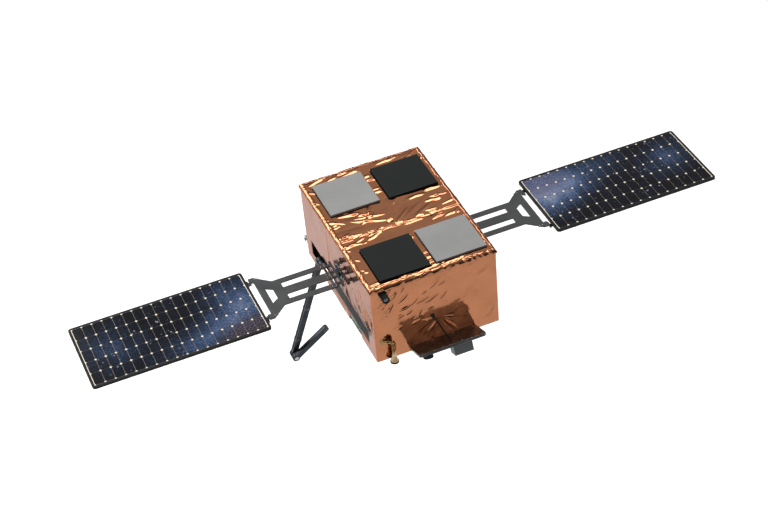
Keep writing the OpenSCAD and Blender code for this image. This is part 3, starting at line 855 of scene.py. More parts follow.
# Scattered tucks: zone (low and high corner), count, length, turn in degrees,
# depth, seed, narrowest and widest
FRONT_TUCKS = (
    ((-240, 240, 40, 370), 18, 60, 30, 3.0, 16, (3.2, 5.4)),
    ((-165, 165, -10, 250), 13, 44, 18, 2.8, 17, (3, 5)),
    ((-250, 320, -120, 380), 6, 66, 40, 3.4, 18, (3.4, 5.6)),
    ((40, 240, 240, 395), 10, 70, 34, 2.0, 19, (6, 12)))
TOP_TUCKS = (
    ((-245, -35, -85, 100), 8, 120, -15, 2.8, 770, (4, 8)),
    ((-250, -45, -190, 90), 5, 60, 20, 2.4, 795, (3.4, 6)),
    ((-230, -92, 230, -44), 9, 100, 6, 2.6, 782, (4, 7)),
    ((105, -30, 245, 108), 10, 78, 2, 2.7, 345, (4, 8)),
    ((-95, -30, 110, 110), 10, 110, 64, 2.7, 315, (5, 10)),
    ((-30, 110, 30, 330), 7, 54, 8, 2.6, 200, (3.6, 6.5)),
    ((-28, -340, 30, -110), 7, 50, 4, 2.6, 424, (3.6, 6.5)),
    ((-230, 326, 230, 350), 9, 96, 4, 2.6, 1016, (3.6, 7)),
    ((-230, -348, 230, -328), 11, 76, 8, 2.7, 1038, (3.4, 6.5)),
    ((-248, -320, -220, 320), 14, 40, -40, 2.1, 1064, (3, 5.5)),
    ((224, -320, 248, 320), 12, 40, 28, 2.0, 992, (3, 5.5)))
# Foot of the shelf's strut on the front film, as (x, z)
STRUT_FOOT = (16, 180)


def front_relief(x, z):
    """Nearly flat film with slow waves, slanted creases at the upper left, and
    a fan of folds that the strut pulls."""
    low, high = side_limits(1)
    right = step_up(x, -60, 160)
    h = 0.9 * swell(x, z, 120, 11) + 0.3 * swell(x, z, 46, 12)
    h += right * (1.5 * swell(x + z, z - 0.4 * x, 64, 13)
                  + 0.55 * facets(x, z, 40, 14, 2.4, 35))
    h += (1 - right) * 0.3 * facets(x, z, 32, 15, 2.5, 32)
    h += sum(tucks(x, z, *row) for row in FRONT_TUCKS)
    h += fold(x, z, (204, 88), (248, 144), 3.8, 4.0)
    h += fold(x, z, (186, 78), (214, 104), 3, 2.2)
    over, under = x - STRUT_FOOT[0], STRUT_FOOT[1] - z
    turn, away = np.arctan2(over, under), np.hypot(over, under)
    fan = facets(turn * 150, away * 0.3, 30, 20)
    h += (0.045 * away * fan * step_up(away, 4, 40) * near(away, 50, 90)
          * step_up(under + 12, 0, 20) * near(over, 0, 130))
    h += (3.4 * facets(turn * 120, away, 30, 25, 1.6, 90) * near(away, 70, 60)
          * step_up(under + 12, 0, 30))
    h += edge_gathers(x, z, low, high, top=(26, 2.0, 21), bottom=(16, 0.8, 22),
                      left=(18, 1.0, 23), right=(14, 0.8, 24))
    return h * edge_mask(x, z, low, high, 6)


def top_relief(x, y):
    """Taut film with long bright tucks by the seam and round the patches."""
    low, high = side_limits(2)
    h = 0.7 * swell(x, y, 95, 31) + 0.5 * facets(x, y, 60, 32, 1.8, 20)
    crumple = np.maximum(near(np.hypot((x + 190) / 1.5, y - 20), 0, 75),
                         0.7 * near(y, SEAM_Y, 26))
    h += (0.12 + 1.5 * crumple) * facets(x, y, 26, 35, 2.4, 8)
    h += sum(tucks(x, y, *row) for row in TOP_TUCKS)
    h += edge_gathers(x, y, low, high, left=(16, 1.2, 51), right=(14, 1.1, 54),
                      bottom=(20, 1.6, 57), top=(18, 1.3, 60))
    return h * edge_mask(x, y, low, high, 5)


def patch_ceiling(x, y):
    """Highest relief under each patch, so that the film stays below it."""
    highest, clear, slope = 9.0, 0.3, 0.9
    ceiling = np.full_like(x, highest)
    off = bpy.context.scene.satellite_blanket.stand_off / MM
    feet = box_mm("patch_rear_left")[0][2] - BODY_HIGH[2]
    for name in ("patch_rear_left", "patch_rear_right", "patch_front_left",
                 "patch_front_right"):
        lo, hi = box_mm(name)
        out = np.hypot(np.maximum(0, np.maximum(lo[0] - x, x - hi[0])),
                       np.maximum(0, np.maximum(lo[1] - y, y - hi[1])))
        ceiling = np.minimum(ceiling, feet - off - clear + out * slope)
    return ceiling


def side_relief(seed):
    """Film on a long side: smooth to the rear, more wrinkled in front, with an
    upright lap and a crumpled ring where the wing's drive comes through."""
    def relief(y, z):
        low, high = side_limits(0)
        ahead = 1 - step_up(y, -120, 120)
        h = 0.8 * swell(y, z, 140, seed) + 0.25 * swell(y, z, 40, seed + 1)
        h += (0.1 + ahead) * 0.35 * facets(y, z, 52, seed + 2, 1.6, 70)
        h += ahead * tucks(y, z, (-335, 90, 60, 385), 13, 74, 76, 2.6,
                           seed + 3, (5, 9))
        h += fold(y, z, (88, 160), (92, 400), 2.2, -1.8)
        h += fold(y, z, (94, 160), (98, 400), 2.2, 1.2)
        from_drive = np.hypot(y - MIDDLE[1] + 15, z - 235)
        h += near(from_drive, 52, 16) * 1.1 * facets(y, z, 12, seed + 4, 1, 20)
        h += edge_gathers(
            y, z, low, high, top=(20, 1.6, seed + 5),
            bottom=(16, 1.2, seed + 8), left=(16, 1.1, seed + 11),
            right=(16, 1.0, seed + 14))
        return h * edge_mask(y, z, low, high, 6)
    return relief


def rear_relief(x, z):
    """Film with slow facets and many short tucks."""
    low, high = side_limits(1)
    h = 0.9 * swell(x, z, 110, 71) + 0.8 * facets(x, z, 52, 72, 1.8, -25)
    h += tucks(x, z, (-230, 90, 230, 380), 46, 44, -28, -1.3, 73)
    h += edge_gathers(x, z, low, high, top=(22, 1.8, 74), bottom=(16, 1.0, 77))
    return h * edge_mask(x, z, low, high, 6)


def under_relief(x, y):
    """Film with broad facets and wandering ridges."""
    low, high = side_limits(2)
    h = 0.7 * swell(x, y, 100, 81) + 0.9 * facets(x, y, 48, 82, 1.8, 20)
    h += 1.1 * ridges(x, y, 60, 83, 2.2, -30, 7)
    return h * edge_mask(x, y, low, high, 8)


class SATELLITE_OT_side_blankets(bpy.types.Operator):
    """Cover the four side walls and the underside with creased film"""
    bl_idname = "satellite.side_blankets"
    bl_label = "Side blankets"

    def execute(self, context):
        scene = context.scene
        look = scene.satellite_blanket
        fine, plain = look.fine_step / MM, look.plain_step / MM
        low, high = side_limits(1)
        film_face("front_blanket", 1, -1, (low[0], high[0]),
                            (low[1], high[1]), front_relief, look, fine,
                            low=-2.0)
        film_face("rear_blanket", 1, 1, (low[0], high[0]),
                            (low[1], high[1]), rear_relief, look, plain,
                            low=-2.0)
        low, high = side_limits(0)
        cradle, bay = box_mm("arm_cradle"), box_mm("arm_bay")
        board, wall = box_mm("service_board"), box_mm("left_wall")
        opening = (cradle[0][1], cradle[0][2], bay[1][1] - 3, cradle[1][2])
        shoulder_y = sum(box_mm("shoulder_pin"))[1] / 2
        half_notch = 40
        notch = (shoulder_y - half_notch, low[1], shoulder_y + half_notch,
                 opening[1])
        recess = (board[0][1] - 1, low[1], board[1][1] + 1, board[1][2] + 1)
        holes = [opening, notch, recess]
        marks_y = [low[0], high[0], *[h[k] for h in holes for k in (0, 2)]]
        marks_z = [low[1], high[1], *[h[k] for h in holes for k in (1, 3)]]
        film_face("left_blanket", 0, -1, marks_y, marks_z,
                            side_relief(51), look, 1.1 * fine, holes,
                            low=-2.0)
        film_face("right_blanket", 0, 1, (low[0], high[0]),
                            (low[1], high[1]), side_relief(151), look, plain,
                            low=-2.0)
        low, high = side_limits(2)
        inner_x = wall[1][0]
        holes = [(low[0], notch[0], inner_x, notch[2]),
                 (low[0], recess[0], board[1][0] + 1, recess[2])]
        film_face(
            "under_blanket", 2, -1,
            [low[0], high[0], inner_x, board[1][0] + 1],
            [low[1], high[1], notch[0], notch[2], recess[0], recess[2]],
            under_relief, look, plain, holes, low=-2.0)
        return {"FINISHED"}


class SATELLITE_OT_top_blankets(bpy.types.Operator):
    """Cover both top panels with crumpled film that laps at the seam"""
    bl_idname = "satellite.top_blankets"
    bl_label = "Top blankets"

    def execute(self, context):
        scene = context.scene
        look = scene.satellite_blanket
        step = look.fine_step / MM
        low, high = side_limits(2)
        lap = 5

        def front_part(x, y):
            wander = 6 * swell(x, x * 0, 48, 60)
            lip = near(y, SEAM_Y + lap - 5 + wander, 4.2) * (
                2.9 + 1.5 * swell(x, y * 0, 34, 61))
            return top_relief(x, y) + lip

        def rear_part(x, y):
            return top_relief(x, y) - 1.2 * near(y, SEAM_Y - lap, 9)

        for name, marks, relief, panel, taped in (
                ("top_blanket_front", (low[1], SEAM_Y + lap), front_part,
                 "top_panel_front", ["top_hem", "seam_tabs"]),
                ("top_blanket_rear", (SEAM_Y - lap, high[1]), rear_part,
                 "top_panel_rear", [])):
            made = film_face(name, 2, 1, (low[0], high[0]), marks, relief,
                             look, step, low=-2.2, high=patch_ceiling)
        return {"FINISHED"}


class SATELLITE_OT_hems(bpy.types.Operator):
    """Tape the blankets' edges round the top and over the top seam"""
    bl_idname = "satellite.hems"
    bl_label = "Hems and tape"

    def execute(self, context):
        scene = context.scene
        look = scene.satellite_blanket
        off = look.stand_off / MM
        inside, down = look.hem_in / MM, look.hem_down / MM
        half = (BODY_HIGH - BODY_LOW) / 2 + off
        profile = smooth_line([(-inside, 0.3, 0), (-inside * 0.75, 2.6, 0),
                               (-5.2, 1.7, 0), (-0.2, -1.0, 0),
                               (2.2, -5.0, 0), (4.2, -down * 0.66, 0),
                               (3.8, -down * 0.88, 0), (1.5, -down, 0)], 4)
        across = np.array([p.x for p in profile])
        up = np.array([p.y for p in profile])
        path = np.concatenate([[0], np.cumsum(np.hypot(np.diff(across),
                                                       np.diff(up)))])
        parts = []
        # Front, left, rear and right edge, with the depth of their wrinkles
        edges = [(0, -1, 2.0), (1, -1, 1.5), (0, 1, 1.8), (1, 1, 1.5)]
        step, corner = 1.9, 14
        for k, (along_axis, sign, depth) in enumerate(edges):
            reach = half[along_axis]
            s = ticks((-reach, reach), step)
            grid_s, grid_q = np.meshgrid(s, path, indexing="ij")
            out, rise = np.broadcast_to(across, grid_s.shape), np.broadcast_to(
                up, grid_s.shape)
            calm = step_up(reach - np.abs(grid_s), 0, corner)
            slope = np.gradient(across, path), np.gradient(up, path)
            n_out, n_up = -slope[1], slope[0]
            seed = 201 + 9 * k
            h = depth * (0.9 * ridges(grid_s, grid_q, 26, seed, 1.4, 58, 4)
                         - 0.2 + 0.7 * facets(grid_s, grid_q, 19, seed + 3))
            ragged = 2.2 * swell(s, s * 0, 17, seed + 6)[:, None] * (
                step_up(grid_q, path[-1] * 0.7, path[-1])
                - step_up(path[-1] - grid_q, path[-1] * 0.75, path[-1]))
            h = h * calm
            place = out + n_out * h
            height = BODY_HIGH[2] + off + rise + n_up * h - ragged * calm * (
                grid_q > path[-1] / 2)
            place = place + ragged * calm * (grid_q <= path[-1] / 2)
            points = np.zeros((*grid_s.shape, 3))
            cross_axis = 1 - along_axis
            points[..., along_axis] = MIDDLE[along_axis] + grid_s * (
                1 + place / reach)
            points[..., cross_axis] = MIDDLE[cross_axis] + sign * (
                half[cross_axis] + place)
            points[..., 2] = height
            faces = grid_faces(*grid_s.shape)
            if (along_axis == 0) == (sign > 0):
                faces = [face[::-1] for face in faces]
            parts.append((points.reshape(-1, 3), faces))
        made = piece("top_hem", *joined(parts), MATERIALS["film"],
                     slot="copper_blanket")
        solid = made.modifiers.new("film", "SOLIDIFY")
        solid.thickness = 0.25 * MM
        solid.offset = -1
        tabs = []
        # Tape tabs: x, distance behind the seam, turn and length
        for k, (x, behind, turn, size) in enumerate([
                (-186, 4, 12, 26), (-2, 2, -4, 32), (141, 0, 6, 30),
                (-28, 34, 20, 26), (-120, 2, -8, 24)]):
            y = SEAM_Y + behind
            u = np.linspace(-size / 2, size / 2, 15)
            v = np.linspace(-size * 0.32, size * 0.32, 10)
            grid_u, grid_v = np.meshgrid(u, v, indexing="ij")
            c, s = math.cos(math.radians(turn)), math.sin(math.radians(turn))
            px, py = x + grid_u * c - grid_v * s, y + grid_u * s + grid_v * c
            pz = (BODY_HIGH[2] + off + 5.0 + 0.5 * facets(px, py, 9, 300 + k)
                  + 0.2 * (py - y) - 0.01 * grid_v ** 2)
            tabs.append((np.stack([px, py, pz], -1).reshape(-1, 3),
                         [f[::-1] for f in grid_faces(15, 10)]))
        made = piece("seam_tabs", *joined(tabs), MATERIALS["tape"],
                     slot="copper_blanket")
        solid = made.modifiers.new("film", "SOLIDIFY")
        solid.thickness = 0.3 * MM
        return {"FINISHED"}


# ---------- wings ----------

class SATELLITE_OT_cells(bpy.types.Operator):
    """Lay cut-corner solar cells, contact pads and bars on both wings"""
    bl_idname = "satellite.cells"
    bl_label = "Solar cells"

    def execute(self, context):
        scene = context.scene
        wing = scene.satellite_wing
        gap, cut, pad = wing.gap / MM, wing.cut / MM, wing.pad / MM
        rng = np.random.default_rng(7)
        margin, glass, tilt_spread = 2.0, 0.3, 0.0012
        ribbon_half, ribbon_up = 0.3, 0.12
        bar_wide, bar_up = 2.4, 0.3
        for side in SIDES:
            lo, hi = box_mm(side + "_cell_sheet")
            top = hi[2]
            pitch_x = (hi[0] - lo[0] - 2 * margin) / wing.columns
            pitch_y = (hi[1] - lo[1] - 2 * margin) / wing.rows
            cells, pads, lines = [], [], []
            for i in range(wing.columns):
                for j in range(wing.rows):
                    x = lo[0] + margin + (i + 0.5) * pitch_x
                    y = lo[1] + margin + (j + 0.5) * pitch_y
                    tilt = rng.normal(0, tilt_spread, 2)
                    cells.append(self.plate(x, y, (pitch_x - gap) / 2,
                                            (pitch_y - gap) / 2, cut, top,
                                            glass, tilt))
            for i in range(wing.columns + 1):
                x = lo[0] + margin + i * pitch_x
                for j in range(wing.rows + 1):
                    y = lo[1] + margin + j * pitch_y
                    pads.append(self.diamond(x, y, pad, lo, hi, top))
                if 0 < i < wing.columns:
                    lines.append(block(
                        (x - ribbon_half, lo[1] + margin, top),
                        (x + ribbon_half, hi[1] - margin, top + ribbon_up),
                        0.05, 1))
            for x in (lo[0] + 0.2, hi[0] - 0.2 - bar_wide):
                pads.append(block((x, lo[1] + 1, top),
                                  (x + bar_wide, hi[1] - 1, top + bar_up),
                                  0.12, 1))
            body = side + "_array"
            piece(side + "_cells", *joined(cells), MATERIALS["cell_" + side],
                  body, "solar_cells", flat=True)
            piece(side + "_contacts", *joined(pads), MATERIALS["cream"], body,
                  "solar_cells", flat=True)
            piece(side + "_ribbons", *joined(lines), MATERIALS["ribbon"], body,
                  "solar_cells", flat=True)
        return {"FINISHED"}

    @staticmethod
    def plate(x, y, a, b, cut, top, glass, tilt):
        """One cell with its cover glass: eight sides and a chamfered edge."""
        verts = []
        for inset, z in ((0, 0.02), (0, glass * 0.6), (0.35, glass)):
            p, q = a - inset, b - inset
            for u, v in ((p, q - cut), (p - cut, q), (cut - p, q),
                         (-p, q - cut), (-p, cut - q), (cut - p, -q),
                         (p - cut, -q), (p, cut - q)):
                lift = (u * tilt[0] + v * tilt[1]) if z > 0.1 else 0
                verts.append([x + u, y + v, top + z + lift])
        faces = [[k * 8 + n, k * 8 + (n + 1) % 8, k * 8 + 8 + (n + 1) % 8,
                  k * 8 + 8 + n] for k in range(2) for n in range(8)]
        faces.append([16 + n for n in range(8)])
        faces.append([n for n in range(8)][::-1])
        return verts, faces

    @staticmethod
    def diamond(x, y, size, lo, hi, top):
        """A contact pad in the gap that four cut corners leave."""
        ring = [(size, 0), (0, size), (-size, 0), (0, -size)]
        verts = [[min(max(x + u * s, lo[0] + 0.3), hi[0] - 0.3),
                  min(max(y + v * s, lo[1] + 0.3), hi[1] - 0.3), top + z]
                 for s, z in ((1, 0), (0.93, 0.22)) for u, v in ring]
        faces = [[n, (n + 1) % 4, 4 + (n + 1) % 4, 4 + n] for n in range(4)]
        return verts, [*faces, [4, 5, 6, 7], [3, 2, 1, 0]]


class SATELLITE_OT_wing_backs(bpy.types.Operator):
    """Run the harness and fit inserts on the back of both wings"""
    bl_idname = "satellite.wing_backs"
    bl_label = "Wing backs"

    def execute(self, context):
        thick, rim_proud = 10, 0.4
        tape_lines, tape_pitch, tape_half, tape_up = (-84, 84), 7, 2.6, 0.9
        clip_pitch, clip_half, clip_up = 105, (5, 15), 1.5
        insert_pitch, insert_in = 111, (22, 16)
        insert = rounded([(0, 0.9), (2.2, 0.9), (2.2, 1.3), (6, 1.3), (6, 0)],
                         0.3)
        for side, sign in SIDES.items():
            lo, hi = box_mm(side + "_panel")
            under = box_mm(side + "_cell_sheet")[1][2] + rim_proud - thick
            near_x, far_x = sorted((lo[0], hi[0]), key=abs)
            inward = near_x + sign * 24
            tapes, clips = [], []
            mid = (lo[1] + hi[1]) / 2
            for offset in tape_lines:
                for k in range(3):
                    y = mid + offset + (k - 1) * tape_pitch
                    end = far_x - sign * (60 + 40 * k)
                    tapes.append(block(
                        (min(inward, end), y - tape_half, under - tape_up),
                        (max(inward, end), y + tape_half, under), 0.3))
                for n in range(6):
                    x, y = inward + sign * (50 + clip_pitch * n), mid + offset
                    clips.append(block(
                        (x - clip_half[0], y - clip_half[1], under - clip_up),
                        (x + clip_half[0], y + clip_half[1], under), 0.5))
            for n in range(7):
                for y in (lo[1] + insert_in[1], mid, hi[1] - insert_in[1]):
                    x = near_x + sign * (insert_in[0] + n * insert_pitch)
                    clips.append(lathe(insert, (x, y, under), (0, 0, -1), 24))
            piece(side + "_harness", *joined(tapes), MATERIALS["harness"],
                  side + "_array", "panel_carbon")
            piece(side + "_inserts", *joined(clips), MATERIALS["housing"],
                  side + "_array", "panel_carbon")
        return {"FINISHED"}


class SATELLITE_OT_wing_fittings(bpy.types.Operator):
    """Fit screws to the wing drives, roots and yokes"""
    bl_idname = "satellite.wing_fittings"
    bl_label = "Wing fittings"

    def execute(self, context):
        ring, turns = 36, np.arange(12) * math.pi / 6 + math.pi / 12
        yoke_thick, tongue_in, root_x = 6, 22, 309
        tongue_rows, tongue_y = (26, 13), (-115, 115)
        root_y = (-63.5, -8, 8, 63.5)
        for side, sign in SIDES.items():
            lo, hi = box_mm(side + "_wing_drive")
            y, z = (lo[1] + hi[1]) / 2, (lo[2] + hi[2]) / 2
            face = hi[0] if sign > 0 else lo[0]
            heads = [screw((face, y + ring * math.cos(a),
                            z + ring * math.sin(a)), (sign, 0, 0), 3.0, 2.0)
                     for a in turns]
            piece(side + "_drive_screws", *joined(heads), MATERIALS["steel"],
                  "root", "steel_pin")
            lo, hi = box_mm(side + "_yoke")
            reach = abs(hi[0] if sign > 0 else lo[0]) - tongue_in
            spots = [(reach - back, dy) for dy in tongue_y
                     for back in tongue_rows] + [(root_x, dy) for dy in root_y]
            heads = [screw((sign * x, y + dy, z + way * yoke_thick / 2),
                           (0, 0, way), 2.4, 1.2)
                     for x, dy in spots for way in (1, -1)]
            piece(side + "_yoke_screws", *joined(heads), MATERIALS["steel"],
                  side + "_boom", "steel_pin")
        return {"FINISHED"}


# ---------- service arm and stowage ----------

class SATELLITE_OT_arm_fittings(bpy.types.Operator):
    """Fit joint caps, bands, a lead and the tip's screws to the service arm"""
    bl_idname = "satellite.arm_fittings"
    bl_label = "Arm fittings"

    def execute(self, context):
        lo, hi = box_mm("shoulder_pin")
        shoulder = (lo + hi) / 2
        lo, hi = box_mm("elbow_pin")
        elbow = (lo + hi) / 2
        along = Vector(elbow - shoulder).normalized()
        out = Vector((along.z, 0, -along.x))
        out = out if out.x < 0 else -out
        reach = (Vector(elbow) - Vector(shoulder)).length
        near_y, far_y = shoulder[1] + 2.5, shoulder[1] + 22.5
        parts = []
        for point in (shoulder, elbow):
            parts.append(lathe(rounded([(0, 1.6), (7.5, 1.6), (8.5, 0.9),
                                        (12.5, 0.9), (13.2, 0)], 0.3),
                               (point[0], far_y, point[2]), (0, 1, 0)))
        plates = []
        for share in (0.16, 0.5, 0.84):
            middle = Vector(shoulder) + along * reach * share
            middle.y = (near_y + far_y) / 2
            place = Matrix.Translation(middle) @ Matrix((
                (out.x, 0, along.x, 0), (out.y, 1, along.y, 0),
                (out.z, 0, along.z, 0), (0, 0, 0, 1)))
            plates.append(placed(block((-13, -10.8, -7), (13, 10.8, 7), 0.8),
                                 place))
        piece("arm_bands", *joined(plates + parts[:1]), MATERIALS["housing"],
              "upper_link", "arm_anodised")
        piece("elbow_cap", *parts[1], MATERIALS["housing"], "upper_link",
              "arm_anodised")
        lead = [Vector(shoulder) + along * (reach * t) + out * 13.2
                for t in np.linspace(0.06, 0.95, 24)]
        for point in lead:
            point.y = (near_y + far_y) / 2 + 3
        piece("arm_lead", *tube(lead, 1.5), MATERIALS["chip"], "upper_link",
              "arm_anodised")
        lo, hi = box_mm("forearm")
        tip_lo, tip_hi = box_mm("arm_tip")
        tip = Vector((tip_lo + tip_hi) / 2)
        ahead = tip - Vector(elbow)
        ahead.y = 0
        ahead.normalize()
        grip = [screw((tip.x - 5 * ahead.x * k, tip_lo[1], tip.z - 5 * ahead.z
                       * k), (0, -1, 0), 2.2, 1.2) for k in (-1, 1)]
        piece("tip_screws", *joined(grip), MATERIALS["steel"], "lower_link",
              "steel_pin")
        return {"FINISHED"}


class SATELLITE_OT_stowage(bpy.types.Operator):
    """Populate the connector board and pad the arm's cradle"""
    bl_idname = "satellite.stowage"
    bl_label = "Cradle and board"

    def execute(self, context):
        lo, hi = box_mm("service_board")
        face = lo[0]
        chips, plugs = [], []
        rng = np.random.default_rng(5)
        for k in range(9):
            y = lo[1] + 9 + k * 12.2
            w, h = rng.uniform(3, 6), rng.uniform(3, 8)
            z = lo[2] + 5 + rng.uniform(0, 16)
            (plugs if k == 4 else chips).append(block(
                (face - 1.3, y - w / 2, z), (face, y + w / 2, z + h), 0.3))
        piece("board_chips", *joined(chips), MATERIALS["chip"], "root",
              "circuit_board")
        piece("board_plugs", *joined(plugs), MATERIALS["connector"], "root",
              "circuit_board")
        lo, hi = box_mm("arm_cradle")
        web = hi[0] - 3
        pads = []
        for y in (lo[1] + 40, (lo[1] + hi[1]) / 2, hi[1] - 40):
            pads.append(block((web - 1.6, y - 18, lo[2] + 12),
                              (web, y + 18, hi[2] - 12), 1.2, 3))
        piece("cradle_pads", *joined(pads), MATERIALS["chip"], "root",
              "grey_liner")
        return {"FINISHED"}


# ---------- front and rear fittings ----------

class SATELLITE_OT_thrusters(bpy.types.Operator):
    """Turn both nozzles and the ribbed pipe, with their flange screws"""
    bl_idname = "satellite.thrusters"
    bl_label = "Thrusters"

    def execute(self, context):
        lo, hi = box_mm("front_nozzle")
        x, y = (lo[0] + hi[0]) / 2, (lo[1] + hi[1]) / 2
        mouth, throat = (hi[0] - lo[0]) / 2, 6.5
        self.bell("front_bell", "front_nozzle", (x, y, hi[2]), (0, 0, -1),
                  hi[2] - lo[2], throat, mouth, "nozzle")
        # Painted shadow: a near-black ring along the bell's mouth
        piece("front_lip", *lathe([
            (mouth - 2.4, 0), (mouth - 2.2, -3.5), (mouth - 1.2, -6),
            (mouth - 0.3, -3), (mouth, 0)], (x, y, lo[2]), (0, 0, -1), 64),
            MATERIALS["scorched"], "root", "nozzle_metal")
        lo, hi = box_mm("rear_nozzle")
        y, z = (lo[1] + hi[1]) / 2, (lo[2] + hi[2]) / 2
        self.bell("rear_bell", "rear_nozzle", (hi[0], y, z), (-1, 0, 0),
                  hi[0] - lo[0], throat, (hi[2] - lo[2]) / 2, "polished")
        lo, hi = box_mm("front_thruster")
        x, y = hi[0] - 12, lo[1] + 12
        bottom = lo[2]
        top = hi[2] - 17
        core, rib, pitch = 6.0, 10.8, 9.2
        profile = [(0, 0), (core, 0)]
        for k in range(int((top - bottom - 4) / pitch)):
            z = 1.2 + k * pitch
            profile += [(core, z), (rib - 1, z + 1.4), (rib, z + 3),
                        (rib - 1, z + 4.6), (core, z + 6)]
        profile.append((core, top - bottom))
        pipe = [lathe(rounded(profile, 0.8, 3), (x, y, bottom), (0, 0, 1))]
        wall = BODY_LOW[1]
        flange_x = lo[0] + 17
        bend = smooth_line([(flange_x, wall - 2, top),
                            (flange_x + 6, wall - 10, top),
                            (x - 6, y + 2, top),
                            (x, y, top - 6), (x, y, top - 12)], 12)
        pipe.append(tube(bend, 6.4, 32))
        for k in range(9, len(bend) - 1, 8):
            ahead = bend[k + 1] - bend[k]
            pipe.append(lathe([(6, -2.2), (8.6, -1.2), (9.6, 0), (8.6, 1.2),
                               (6, 2.2)], bend[k], ahead, 32))
        flange = rounded([(0, 4), (14, 4), (16.4, 3.4), (17, 0)], 0.8)
        pipe.append(lathe(flange, (flange_x, wall, top), (0, -1, 0)))
        made = piece("front_bellows", *joined(pipe), MATERIALS["pipe"], "root",
                     "bronze_pipe")
        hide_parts("front_thruster")
        heads = [screw((flange_x + 13.5 * math.cos(a), wall - 3.8,
                        top + 13.5 * math.sin(a)), (0, -1, 0), 1.9, 1.4)
                 for a in np.arange(6) * math.pi / 3]
        piece("flange_screws", *joined(heads), MATERIALS["steel"], "root",
              "steel_pin")
        return {"FINISHED"}

    @staticmethod
    def bell(name, node, point, direction, deep, throat, mouth, finish):
        """A bell nozzle with a rolled lip and a dark inside."""
        t = np.linspace(0, 1, 14)
        outer = [(throat + (mouth - throat) * (0.45 * k + 0.55 * k ** 3),
                  deep * k) for k in t]
        inner = [(max(r - 1.5, 1), z) for r, z in outer]
        lip = [(mouth, deep), (mouth - 0.2, deep), (mouth - 1.3, deep)]
        ring = [(throat, 0), (throat + 1.6, 1.2), (throat + 1.6, 4.0),
                (throat + 0.2, 5.2)]
        outside = ring + [p for p in outer if p[1] > 6]
        profile = outside + lip + inner[::-1] + [(0, 3)]
        made = piece(name, *lathe(profile, point, direction, 64),
                     MATERIALS[finish], "root", "nozzle_metal")
        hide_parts(node)


class SATELLITE_OT_instruments(bpy.types.Operator):
    """Add lenses, windows and screws to the sensors and their shelf"""
    bl_idname = "satellite.instruments"
    bl_label = "Sensors"

    def execute(self, context):
        lo, hi = box_mm("sun_sensor")
        x, z = (lo[0] + hi[0]) / 2, (lo[2] + hi[2]) / 2
        piece("sun_lens", *lathe([(11.8, 0.2), (11, 1.4), (8, 2.6), (4, 3.3),
                                  (0, 3.5)], (x, lo[1] + 5, z), (0, -1, 0)),
              MATERIALS["lens"], "root", "sensor_black")
        lo, hi = box_mm("sensor_shelf")
        tilt = math.radians(22)
        wall, up = BODY_LOW[1], BODY_LOW[2] + 24
        box_x, box_y, box_deep = 39, 29, 41
        round_x, round_y, round_deep = 36, 18, 14
        on_shelf = Matrix.Translation((lo[0] / 2 + hi[0] / 2, wall, up)) \
            @ Matrix.Rotation(-tilt, 4, "X")
        half, reach, thick = (hi[0] - lo[0]) / 2, 118, 12
        heads = [placed(screw((u * (half - 14), v, 0), (0, 0, 1), 3.0, 1.6),
                        on_shelf)
                 for u in (-1, -0.33, 0.33, 1) for v in (-reach + 12, -14)]
        piece("shelf_screws", *joined(heads), MATERIALS["steel"], "root",
              "steel_pin")
        lip = [placed(block((9 - half, -reach - 0.6, -thick + 0.6),
                            (half - 9, -reach + 1.2, -0.6), 0.5), on_shelf)]
        for way in (-1, 1):
            lip.append(placed(block((-0.6, 8.5 - reach, 0.6 - thick),
                                    (0.6, -14, -0.6), 0.4),
                              on_shelf @ Matrix.Translation(
                                  (way * half, 0, 0))))
            corner = on_shelf @ Matrix.Translation(
                (way * (half - 4), 4 - reach, 0)) @ Matrix.Rotation(
                way * math.radians(45), 4, "Z")
            lip.append(placed(block((-5.2, -0.6, 0.6 - thick),
                                    (5.2, 0.6, -0.6), 0.4), corner))
        piece("shelf_edge", *joined(lip), MATERIALS["housing"], "root",
              "shelf_black")
        window = [placed(lathe(rounded([(0, 0.8), (10, 0.8), (10, 2.2),
                                        (13, 2.2), (13, 0)], 0.5),
                               (box_x, -reach + box_y, -thick - box_deep),
                               (0, 0, -1)), on_shelf)]
        piece("box_lens_ring", *joined(window), MATERIALS["housing"], "root",
              "sensor_grey")
        glass = [placed(lathe([(9.6, 0.9), (7, 2.0), (3.5, 2.6), (0, 2.8)],
                              (box_x, -reach + box_y, -thick - box_deep),
                              (0, 0, -1)), on_shelf),
                 placed(lathe([(15, 0), (14, 1.0), (8, 2.4), (0, 3.0)],
                              (round_x - half, -reach + round_y,
                               -thick - round_deep), (0, 0, -1)), on_shelf)]
        piece("under_lenses", *joined(glass), MATERIALS["lens"], "root",
              "sensor_black")
        return {"FINISHED"}


# ---------- stage ----------

